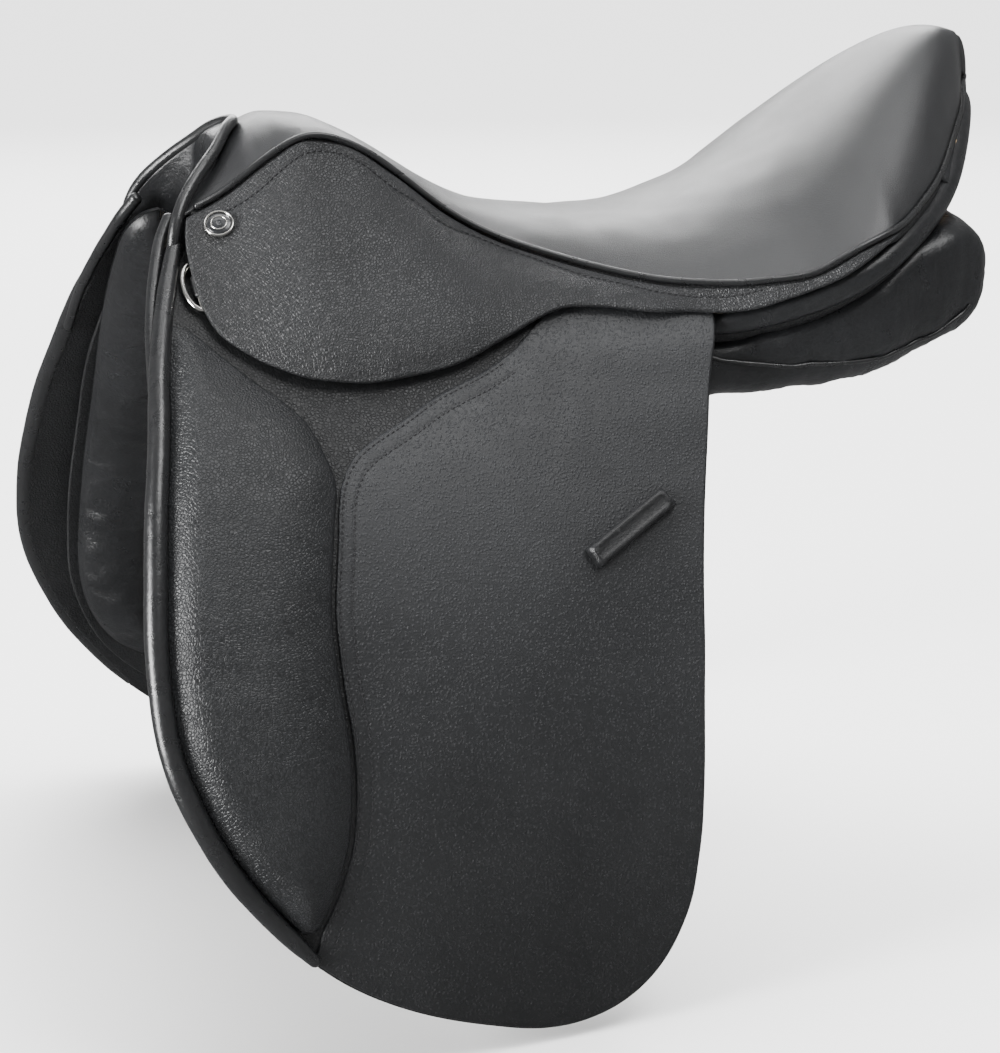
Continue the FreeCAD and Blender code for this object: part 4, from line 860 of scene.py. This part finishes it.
pad_vf = sheet_mesh([run_top, run_in, run_low, run_front], pad_surf, 3.0, r=1.9, h=3.4, relief=pad_relief)
pair("knee_pad_cushion", pad_vf, M_PAD, replaces=("knee_pad", "knee_pad_top"), blend=flap_blend)

# ------------------------------------------------------------------ rolled edge of the flap
PR = pchip([(0, 4.2), (0.05, 4.8), (0.15, 5.2), (0.3, 5.7), (0.45, 5.9), (0.8, 5.6), (0.95, 4.8), (1.0, 3.2)])
pp = resample(PIPE, 3.0)
px_ = pp[:, 0] + 0.5 + 2.6 * smooth((pp[:, 1] - 35.0) / 45.0)
pipe3 = np.stack([px_, -(F(px_, pp[:, 1]) + 2.2), pp[:, 1]], 1)
pipe_vf = tube_mesh(pipe3, lambda s: float(PR(s)), seg=22, step=2.2, wobble=0.10, seed=5)
pair("flap_rolled_edge", pipe_vf, M_ROLL, replaces=("flap_piping", "flap_piping_top"), blend=flap_blend)

# ------------------------------------------------------------------ keeper
kl = [[KEEP[0], KEEP[1]], [KEEP[1], KEEP[2]], [KEEP[2], KEEP[3]], [KEEP[3], KEEP[0]]]


def keep_relief(vv, d):
    return 0.9 * np.exp(-((d - 1.9) / 1.0) ** 2) - 0.3 * np.exp(-((d - 3.6) / 0.8) ** 2)


keep_vf = sheet_mesh(kl, lambda x, z: F(x, z) + 8.2, 7.6, r=1.6, h=2.0, relief=keep_relief)
pair("keeper_loop", keep_vf, M_STRAP, body="flap", replaces=("stirrup_leather_keeper",))

# ------------------------------------------------------------------ skirt
sk_x = np.linspace(173.0, -214.0, 60)
sk_top = [(173.0, 107.6)] + [(x, float(welt_z(x)) - 1.6) for x in sk_x[1:]] + [(-220.2, 119.9)]
skst = resample(SKST, 2.0)
sk_edge = np.array(SKLOW)


def skirt_relief(vv, d):
    p = np.c_[vv, np.zeros(len(vv))]
    k = seg_dist(vv, skst, closed=False)
    e = seg_dist(vv, sk_edge, closed=False)
    h = 0.55 * vnoise(p, 95.0, 21) * smooth(d / 25.0)
    h = h - 0.5 * np.exp(-(k / 1.2) ** 2)
    h = h - 0.28 * np.exp(-((e - 3.0) / 0.8) ** 2)
    return h


skirt_vf = sheet_mesh([SKLOW, sk_top], K, 3.4, r=1.4, h=4.0, relief=skirt_relief, lines=[SKST])
pair("skirt_leather_cover", skirt_vf, M_SKIRT, replaces=("skirt", "skirt_lobe"), blend=skirt_blend)
P, n = on_surf(SKST, K, -0.15)
pair("skirt_stitches", stitch_mesh(P, n, pitch=3.6, length=2.6, width=0.9, height=0.6), M_THREAD, blend=skirt_blend)

# ------------------------------------------------------------------ seat
nose_x = pchip([(0, -180.0), (4, -181.0), (10, -184.6), (27.5, -195.4), (40.5, -207.0), (50, -216.4), (58, -223.0), (62.5, -227.0), (80, -232)])
ts = np.sin(np.linspace(-math.pi / 2, math.pi / 2, 75)) * 0.5 + np.linspace(-1, 1, 75) * 0.5
us = np.linspace(0, 1, 190)
G = np.zeros((len(us) + 6, len(ts), 3))
for j, t in enumerate(ts):
    x0 = -200.0
    for _ in range(25):
        x0 = 0.5 * x0 + 0.5 * float(nose_x(abs(t) * float(welt_y(x0))))
    x = x0 + (262.0 - x0) * us
    yw = welt_y(x) - 0.4
    y = t * yw
    z = seat_z(x, y)
    tt = np.abs(t)
    G[:len(us), j, 0] = x
    G[:len(us), j, 1] = y
    G[:len(us), j, 2] = z
    zw = 176.0
    for k in range(6):
        a = (k + 1) / 6 * math.pi / 2
        G[len(us) + k, j] = (262.0 + 7.3 * math.sin(a) * (1 - 0.75 * t * t), t * (yw[-1] + 1.0 * math.sin(a)), zw + (z[-1] - zw) * math.cos(a))
pts = G.reshape(-1, 3)
soft = vnoise(pts, 150.0, 31) * 0.7 + vnoise(pts * np.array([1.0, 2.0, 1.0]), 42.0, 32) * 0.16
edge = np.repeat((1 - np.abs(ts))[None], G.shape[0], 0).reshape(-1)
G[..., 2] += (soft * smooth(edge / 0.25)).reshape(G.shape[:2])
du, dv = np.gradient(G, axis=0), np.gradient(G, axis=1)
wsm = smooth((G[..., 0] - 130.0) / 40.0)[1:-1, 1:-1]
wsm[-7:] = 0.0
for _ in range(60):
    Z = G[..., 2]
    avg = (Z[:-2, 1:-1] + Z[2:, 1:-1] + Z[1:-1, :-2] + Z[1:-1, 2:]) / 4
    Z[1:-1, 1:-1] += 0.5 * wsm * (avg - Z[1:-1, 1:-1])
du, dv = np.gradient(G, axis=0), np.gradient(G, axis=1)
up = np.cross(du, dv)
if up[60, 37, 2] < 0:
    G = G[:, ::-1]
seat_v, seat_f = grid_shell(G, 2.4)
seat = make("seat_padded_cover", seat_v, seat_f, M_SEAT)
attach(seat, "root")
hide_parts("seat_cover")

# welt round the seat
wx = [-214, -198, -182, -166, -150, -134, -118, -102, -86, -70, -54, -38, -22, -6, 12, 32, 52, 72, 92, 110, 128, 146, 162, 176, 190, 205, 220, 232, 243, 251]
near = [(x, -(float(welt_y(x)) + 0.5), float(welt_z(x)) + 0.7) for x in wx]
far = [(a, -b, c) for a, b, c in reversed(near)]
welt_path = near + [(257.5, -21.0, 170.5), (263.0, -12.5, 174.5), (267.2, -6.0, 176.5), (268.8, 0.0, 177.0), (267.2, 6.0, 176.5), (263.0, 12.5, 174.5), (257.5, 21.0, 170.5)] + far
welt_vf = tube_mesh(welt_path, lambda s: 1.9, seg=14, step=2.0)
welt = make("seat_welt_cord", welt_vf[0], welt_vf[1], M_ROLL)
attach(welt, "root")
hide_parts("seat_welt_left", "seat_welt_right")

# rolled head binding
HB = [(-180.5, 0, 163.2), (-185, 10, 161.3), (-195.8, 27.5, 151.6), (-207.5, 40.5, 141.0), (-217, 50, 131.0), (-223.5, 57.8, 121.5), (-227.3, 62.5, 111.5), (-228.8, 64.6, 103.0)]
hb = [(x, y, z) for x, y, z in reversed(HB)] + [(x, -y, z) for x, y, z in HB[1:]]
hb_vf = tube_mesh(hb, lambda s: 3.3, seg=24, step=2.0, wobble=0.08, seed=9)
hbo = make("head_binding_roll", hb_vf[0], hb_vf[1], M_ROLL)
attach(hbo, "root")
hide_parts("head_binding")

# lining of the arch, from the binding back under the head
ARCH = [(0, 147.5), (14, 145), (27, 137.5), (38, 126), (48, 112.5), (57, 98.5), (65, 85.5), (73, 73)]
arch = resample(ARCH, 1.0)
ad = np.linspace(0, 1, len(arch))
hbl = resample(HB + [(-229.5, 66.5, 92.0)], 1.0)
hd = np.linspace(0, 1, len(hbl))
uu = np.linspace(-1, 1, 101)
vv_ = np.linspace(0, 1, 30)
LG = np.zeros((len(uu), len(vv_), 3))
for i, u in enumerate(uu):
    k = abs(u)
    f = [np.interp(k, hd, hbl[:, c]) for c in range(3)]
    g = [np.interp(k, ad, arch[:, c]) for c in range(2)]
    sg = 1.0 if u >= 0 else -1.0
    # a point on the arch, drawn in by the lining's gap
    p0 = np.array([f[0], f[1], f[2] - 1.0])
    p2 = np.array([-193.8, g[0] * 0.90, g[1] - 6.0])
    p3 = np.array([-146.0, g[0] * 0.90, g[1] - 6.0])
    tip = np.array([-194.6, g[0] * 0.98, g[1] + 6.5])
    k1 = smooth((f[0] + 203.0) / 14.0)
    q1 = (p0 + p2) / 2 * (1 - k1) + tip * k1
    poly = resample(np.array([p0, (p0 + q1) / 2, q1, (q1 + p2) / 2, p2, p2 * 0.7 + p3 * 0.3, p3])[:, :], 0.8)
    pd = np.linspace(0, 1, len(poly))
    for j, v in enumerate(vv_):
        c_ = [np.interp(v, pd, poly[:, m]) for m in range(3)]
        LG[i, j] = (c_[0], sg * c_[1], c_[2])
lp_ = LG.reshape(-1, 3)
LG = LG + (0.35 * vnoise(lp_, 26.0, 71)).reshape(LG.shape[:2])[..., None] * np.array([0, 0, 1.0])
du, dv = np.gradient(LG, axis=0), np.gradient(LG, axis=1)
if np.cross(du, dv)[50, 15, 2] < 0:
    LG = LG[::-1]
lv, lf = grid_shell(LG, 2.0)
lin = make("head_lining", lv, lf, M_PANEL)
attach(lin, "root")
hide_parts("gullet_lining")

# dark tape under the seat's edge, between seat and skirt
tape = [(x, -(float(welt_y(x)) - 2.2), float(welt_z(x)) - 3.6) for x in range(-216, 246, 8)]
pair("under_welt_tape", tube_mesh(tape, lambda s: 3.3, seg=12, step=4.0), M_BASE)

# ------------------------------------------------------------------ cantle back
cant_x = pchip([(0, 269), (8, 267.5), (15, 264.5), (35, 254), (57, 239), (75, 226), (92, 212), (100, 205)])
top_z = pchip([(0, 176.5), (18, 171), (35, 161), (57, 148.5), (72, 138), (86, 128)])
low_z = pchip([(0, 133), (35, 131.5), (57, 128.5), (72, 125), (86, 120)])
ys = np.linspace(-88, 88, 90)
vs = np.linspace(0, 1, 22)
wxs = np.linspace(196.0, 256.0, 90)
wcy, wcx, wcz = welt_y(wxs)[::-1], wxs[::-1], welt_z(wxs)[::-1]
rear_y = np.r_[0.0, 6.0, 12.5, wcy]
rear_x = np.r_[266.5, 265.0, 261.0, wcx - 1.5]
rear_z = np.r_[176.0, 175.5, 173.5, wcz - 1.5]
C = np.zeros((len(ys), len(vs), 3))
for i, y in enumerate(ys):
    a = abs(y)
    sgn = np.sign(y)
    top = np.array([np.interp(a, rear_y, rear_x), np.interp(a, rear_y, rear_z)])
    low = np.array([float(cant_x(a)) - 3.0, float(low_z(a)) - 1.0])
    for j, v in enumerate(vs):
        q = low + (top - low) * v
        b = 1.5 * math.sin(math.pi * v)
        C[i, j] = (q[0] + b, y, q[1])
cv, cf = grid_shell(C[::-1], 3.4)
cant = make("cantle_back", cv, cf, M_PAD)
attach(cant, "root")
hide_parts("cantle_facing")
# ------------------------------------------------------------------ stud and D-ring
def lathe(profile, c, n, seg=48):
    n = np.array(n, float) / np.linalg.norm(n)
    a = np.cross(n, (0, 0, 1.0))
    a /= np.linalg.norm(a)
    b = np.cross(n, a)
    ang = np.linspace(0, 2 * math.pi, seg, endpoint=False)
    V = []
    for r, h in profile:
        V.append(c + n * h + r * (np.cos(ang)[:, None] * a + np.sin(ang)[:, None] * b))
    m = len(profile)
    verts = np.concatenate(V)
    faces = []
    for i in range(m):
        i2 = (i + 1) % m
        for k in range(seg):
            k2 = (k + 1) % seg
            faces.append((i * seg + k, i * seg + k2, i2 * seg + k2, i2 * seg + k))
    return verts, faces


sx, sz = -204.5, 115.0
sn = normal_of(K, np.array([sx]), np.array([sz]), 3.0)[0]
scn = np.array([sx, -float(K(sx, sz)), sz])
ring = [(6.9, 0.2), (6.95, 2.4), (7.2, 2.8), (7.5, 2.9), (7.85, 2.7), (8.1, 2.1), (8.1, 0.2)]
rv = lathe(ring, scn, sn)
pair("stud_rim", rv, M_BRIGHT, body=None, replaces=("skirt_stud",))
face_p = [(0.02, 0.1), (7.1, 0.1), (7.1, 2.0), (5.6, 2.5), (3.6, 2.85), (1.8, 3.0), (0.02, 3.05)]
fv = lathe(face_p, scn, sn)
pair("stud_face", fv, M_ENAMEL, body=None)

inner = [(3.7, 2.4), (3.75, 3.1), (4.05, 3.25), (4.4, 3.1), (4.45, 2.4)]
pair("stud_inner_ring", lathe(inner, scn, sn), M_BRIGHT, body=None)

DC = np.array([-221.0, -72.694, 95.864])
DD = np.array([0.0334, -0.7295, -0.6831])
DF = np.array([-0.9994, -0.0244, -0.0228])
DN = np.array([0.0001, -0.6835, 0.7299])
mid = DC + DD * 14.95
bow = [mid + DD * (-14.95 * math.cos(math.pi * k / 24.0)) + DF * (7.2 * math.sin(math.pi * k / 24.0)) for k in range(25)]
bar = [mid - DD * 14.95, mid, mid + DD * 14.95]
dr = merge([tube_mesh(bow, lambda s: 1.5, seg=16, step=1.2), tube_mesh(bar, lambda s: 1.5, seg=16, step=1.5)])
pair("dee_wire", dr, M_BRIGHT, body="dee_ring", replaces=("dee_ring",))

eye = [mid - DD * 5.2, mid, mid + DD * 5.2]
tab_s = [mid - DD * 5.0 - DF * k for k in (1.5, 6.0, 12.0, 18.0)]
tab_v = []
for k in (0.0, 5.0, 10.0, 15.0, 20.0):
    for q, t_ in ((-5.2, 0.9), (5.2, 0.9), (5.2, -0.3), (-5.2, -0.3)):
        tab_v.append(mid + DD * q - DF * k + DN * t_)
tab_f = [tuple(4 * i + c for c in (k, (k + 1) % 4)) + tuple(4 * (i + 1) + c for c in ((k + 1) % 4, k)) for i in range(4) for k in range(4)]
tab_f += [(3, 2, 1, 0), (16, 17, 18, 19)]
pair("dee_tab_leather", merge([tube_mesh(eye, lambda s: 2.6, seg=16, step=1.5), (np.array(tab_v), tab_f)]), M_STRAP, body=None, replaces=("dee_tab",))

# ------------------------------------------------------------------ sweat flap, front panel, knee roll
STRIP = [(-226.6, -45.6, 116.5), (-232.7, -53.3, 106.8), (-237.0, -62.1, 97.7), (-240.6, -71.4, 88.7), (-243.9, -81.0, 79.8), (-246.6, -90.5, 71.0), (-249.4, -102.1, 60.1), (-252.0, -117.1, 44.9), (-254.0, -128.0, 32.0)]
pair("front_edge_roll", tube_mesh(STRIP, lambda s: 3.7 - 0.8 * s, seg=18, step=2.2, wobble=0.1, seed=15), M_ROLL)

sw_top = [(32, 10), (-20, 24), (-80, 34), (-150, 54), (-222, 78)]
sw_rear = [(-6, -190), (-2, -150), (2, -110), (10, -60), (20, -20), (32, 10)]
sw_surf = lambda x, z: F(x, z) - 12.0
sw_loop = loop_of([SWEAT, sw_rear, sw_top])


def sw_relief(vv, d):
    return -0.35 * np.exp(-((d - 3.4) / 0.9) ** 2)


sw_vf = sheet_mesh([SWEAT, sw_rear, sw_top], sw_surf, 3.0, r=1.1, h=5.5, relief=sw_relief)
pair("sweat_flap_leather", sw_vf, M_BASE, replaces=("sweat_flap",))

pf_surf = lambda x, z: F(x, z) - 15.2
PF = [(-216, 115), (-226, 111.5), (-233.5, 102), (-236.5, 88), (-238, 60), (-238, 30), (-237.5, 0), (-238.5, -30), (-240, -56), (-241, -80), (-242, -105),
      (-242, -135), (-238, -160), (-229, -180), (-216, -195), (-199, -205)]
PB = [(-199, -205), (-188, -196), (-184, -170), (-184, -130), (-182, -95), (-172, -66), (-150, -52), (-120, -46), (-80, -38), (-58, -24), (-50, 0)]
PT = [(-50, 38), (-100, 54), (-150, 62), (-176, 68), (-190, 84), (-200, 104), (-216, 115)]


def fp_back(vv, d):
    p = np.c_[vv, np.zeros(len(vv))]
    h = 6.5 + 15.0 * (1 - (1 - np.clip(d / 27.0, 0, 1)) ** 2.0) * smooth((vv[:, 1] + 214.0) / 40.0)
    h = h + smooth(d / 7.0) * (0.8 * vnoise(p * np.array([0.35, 1.6, 1.0]), 22.0, 41) + 0.45 * vnoise(p * np.array([0.5, 2.4, 1.0]), 11.0, 42))
    lim = F(vv[:, 0], vv[:, 1]) - 15.2 - 10.0
    return np.minimum(h, np.maximum(lim, 3.0))


fp_vf = sheet_mesh([PF, PB, [(-50, 0), (-50, 38)], PT], pf_surf, 20.0, r=4.5, h=3.4, back=fp_back)
pair("panel_front_cushion", fp_vf, M_PANEL, replaces=("panel_knee_roll",))

# ------------------------------------------------------------------ rear panel
PANEL = [(-62, 42, 92, 17, 50, 44), (-30, 38, 98, 14, 48, 42), (0, 36, 106, 12.5, 50, 42), (35, 35, 114, 12, 50, 40), (64, 35, 119, 12.5, 52, 45),
         (90, 35, 123, 13.5, 56, 52), (115, 35, 125, 15, 62, 58), (140, 35, 126, 17, 72, 68), (162, 36, 124, 20, 82, 80),
         (184, 37, 118, 27, 94, 94), (205, 39, 113, 34, 104, 101), (221, 42, 108, 40, 106, 102), (232, 47, 102, 48, 100, 95), (239, 56, 92, 60, 91, 87)]
pa = np.array(PANEL, float)
ux = np.r_[np.linspace(-62, 225, 96), 228, 231, 234, 236.5, 239]
cols = [pchip(list(zip(pa[:, 0], pa[:, k]))) for k in range(1, 6)]


def psection(x):
    yi, yo, zb, zi, zo = (float(c(x)) for c in cols)
    ym = (yi + yo) / 2
    h = min(zi, zo) - zb
    w = yo - yi
    q = [(ym, zb), (yo - 0.16 * w, zb + 0.04 * h), (yo - 0.02 * w, zb + 0.28 * h), (yo, zb + 0.6 * h),
         (yo - 0.06 * w, zo - 0.08 * h), (yo - 0.25 * w, zo + 0.5), (ym, (zi + zo) / 2 + 1), (yi + 0.17 * w, zi),
         (yi + 0.04 * w, zi - 0.14 * h), (yi, zb + 0.5 * h), (yi + 0.05 * w, zb + 0.14 * h), (yi + 0.2 * w, zb + 0.02 * h)]
    q = np.array(q + q[:1])
    big = np.concatenate([q[-4:-1], q, q[1:4]])
    d = np.r_[0, np.cumsum(np.linalg.norm(np.diff(big, axis=0), axis=1))]
    r = resample(big, 0.9)
    dd_ = np.linspace(0, d[-1], len(r))
    s0, s1 = d[3], d[3 + 12]
    s = np.linspace(s0, s1, 72, endpoint=False)
    return np.stack([np.interp(s, dd_, r[:, 0]), np.interp(s, dd_, r[:, 1])], 1)


rows = []
for x in ux:
    s = psection(x)
    rows.append(np.c_[np.full(len(s), x), -s[:, 0], s[:, 1]])
first, last = rows[0], rows[-1]
for k in (0.5, 0.8, 0.95):
    c = last.mean(0)
    m = math.sqrt(1 - k * k)
    rows.append(np.c_[last[:, 0] + 3.0 * k, c[1] + (last[:, 1] - c[1]) * m, c[2] + (last[:, 2] - c[2]) * m])
R = np.array(rows)
flat = R.reshape(-1, 3)
cen = R.mean(1, keepdims=True)
rad = R - cen
rad[..., 0] = 0
rad /= np.maximum(np.linalg.norm(rad, axis=-1, keepdims=True), 1e-6)
bump = (0.55 * vnoise(flat * np.array([1.6, 0.6, 0.6]), 30.0, 51) + 0.25 * vnoise(flat * np.array([2.4, 0.7, 0.7]), 14.0, 52)).reshape(R.shape[:2])
fade_ends = smooth((R[:, :1, 0] + 62) / 15.0) * smooth((244 - R[:, :1, 0]) / 10.0)
gus = pchip([(40, 38), (62, 36), (83, 33), (108, 31), (135, 31), (161, 32), (178, 36), (195, 40), (215, 50), (239, 72)])
gz = gus(R[..., 0])
on_out = (R[..., 1] < cen[..., 1] - 4) & (R[..., 0] > 20)
groove = np.where(on_out, -0.9 * np.exp(-((R[..., 2] - gz) / 1.6) ** 2), 0.0)
R = R + rad * ((bump * fade_ends) + groove)[..., None]
nseg = R.shape[1]
pv = R.reshape(-1, 3)
pfaces = []
for i in range(len(R) - 1):
    for k in range(nseg):
        k2 = (k + 1) % nseg
        pfaces.append((i * nseg + k, (i + 1) * nseg + k, (i + 1) * nseg + k2, i * nseg + k2))
pfaces.append(tuple(range(nseg)))
pfaces.append(tuple(reversed([(len(R) - 1) * nseg + k for k in range(nseg)])))
pfaces = [tuple(reversed(f)) for f in pfaces]
rear = pair("panel_rear_cushion", (pv, pfaces), M_PANEL, replaces=("panel",))

# sewn cord along the gusset, on the outer side of the rear panel
gl = []
for x in np.linspace(58, 222, 40):
    s = psection(x)
    out = s[s[:, 0] > s[:, 0].mean()]
    k = np.argmin(np.abs(out[:, 1] - float(gus(x))))
    gl.append((x, -out[k, 0] - 0.1, out[k, 1]))
gl = resample(gl, 6.0)
gl[1:-1] = (gl[:-2] + gl[1:-1] * 2 + gl[2:]) / 4
pair("panel_gusset_cord", tube_mesh(gl, lambda s: 1.2, seg=10, step=2.5), M_ROLL)

# rolled facing under the skirt's tail
FACING = [(50.0, 104.5, 54.0, 5.0), (60.0, 112.0, 55.0, 6.2), (68.0, 116.3, 56.2, 7.0), (76, 118.2, 57.7, 7.4), (84.6, 119.6, 59.5, 7.6), (95.3, 122.3, 62.4, 7.7), (106.1, 124.7, 65.5, 7.7), (117, 126.9, 69.2, 7.7),
          (128.3, 128.3, 73.8, 7.7), (139.7, 129.5, 79.5, 7.7), (152.4, 127.2, 85.8, 7.7), (167.5, 120.5, 93.2, 7.6), (187, 107.0, 102.6, 7.5), (203.5, 93.0, 112.0, 7.3),
          (216.5, 80.5, 121.8, 7.2), (229, 65.5, 133.5, 7.2), (241.5, 47.5, 146.0, 7.2), (252.5, 29.0, 156.5, 7.2), (259.5, 14.0, 162.5, 7.2), (262.3, 0.0, 164.5, 7.2)]
fr = np.array([f[3] for f in FACING] + [f[3] for f in reversed(FACING[:-1])])
fs = np.linspace(0, 1, len(fr))
fpath = [(x, -y, z) for x, y, z, r in FACING] + [(x, y, z) for x, y, z, r in reversed(FACING[:-1])]
fc_vf = tube_mesh(fpath, lambda s: float(np.interp(s, fs, fr)), seg=26, step=2.2, wobble=0.22, seed=61)
fill = [(x, -y + 9.5, z - 6.5) for x, y, z, r in FACING[1:14]]
pair("facing_backing", tube_mesh(fill, lambda s: 8.0, seg=14, step=4.0), M_BASE)
fco = make("rear_facing_roll", fc_vf[0], fc_vf[1], M_PANEL)
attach(fco, "root")
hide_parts("rear_facing_left", "rear_facing_right")

# ------------------------------------------------------------------ floor, light, camera
def stage_plane(name, verts, mat):
    me = bpy.data.meshes.new(name)
    me.from_pydata(verts, [], [(0, 1, 2, 3)])
    me.materials.append(mat)
    ob = bpy.data.objects.new(name, me)
    bpy.context.scene.collection.objects.link(ob)
    return ob


mfl, tfl, bfl = nt("floor_m")
bfl.inputs["Base Color"].default_value = (0.96, 0.96, 0.96, 1)
bfl.inputs["Roughness"].default_value = 0.95
bfl.inputs["Specular IOR Level"].default_value = 0.0
floor = stage_plane("floor", [(-30, -30, -0.2925), (30, -30, -0.2925), (30, 30, -0.2925), (-30, 30, -0.2925)], mfl)

floor.visible_glossy = False

world = bpy.data.worlds.new("studio")
bpy.context.scene.world = world
world.use_nodes = True
wt = world.node_tree
bg = wt.nodes.get("Background") or wt.nodes.new("ShaderNodeBackground")
bg.inputs["Color"].default_value = (1, 1, 1, 1)
bg.inputs["Strength"].default_value = 0.28


def area(name, loc, target, size, power, sy=None):
    ld = bpy.data.lights.new(name, "AREA")
    ld.energy = power
    ld.shape = "RECTANGLE"
    ld.size = size
    ld.size_y = sy or size
    lo = bpy.data.objects.new(name, ld)
    bpy.context.scene.collection.objects.link(lo)
    lo.location = loc
    d = Vector(target) - Vector(loc)
    lo.rotation_mode = "QUATERNION"
    lo.rotation_quaternion = d.to_track_quat("-Z", "Y")
    return lo


sun_d = bpy.data.lights.new("sun_soft", "SUN")
sun_d.energy = 9.0
sun_d.angle = math.radians(70)
sun = bpy.data.objects.new("sun_soft", sun_d)
bpy.context.scene.collection.objects.link(sun)
sun.visible_glossy = False
sun.rotation_mode = "QUATERNION"
sun.rotation_quaternion = Vector((-0.25, -0.30, -0.92)).to_track_quat("-Z", "Y")
area("back_soft", (0.7, 3.6, 1.9), (0.05, 0, 0.1), 3.4, 135.0, 1.3)
area("top_soft", (-0.1, 0.3, 2.2), (0, 0, 0), 1.6, 14.0, 1.0)
area("left_strip", (-3.0, -0.9, 0.3), (-0.2, -0.1, -0.05), 0.9, 330.0, 2.4)
area("near_top", (0.8, -1.2, 2.6), (0, -0.1, 0.0), 1.2, 48.0)

cam_d = bpy.data.cameras.new("camera")
cam = bpy.data.objects.new("camera", cam_d)
bpy.context.scene.collection.objects.link(cam)
bpy.context.scene.camera = cam
a, e = math.radians(-19.0), math.radians(14.5)
back_v = Vector((math.sin(a) * math.cos(e), -math.cos(a) * math.cos(e), math.sin(e)))
tgt = Vector((-0.025, 0.0, -0.080))
cam.location = tgt + back_v * 1.5
cam.rotation_mode = "QUATERNION"
cam.rotation_quaternion = (-back_v).to_track_quat("-Z", "Y")
cam_d.lens = 86.7
cam_d.sensor_width = 36.0
cam_d.clip_start, cam_d.clip_end = 0.05, 100.0
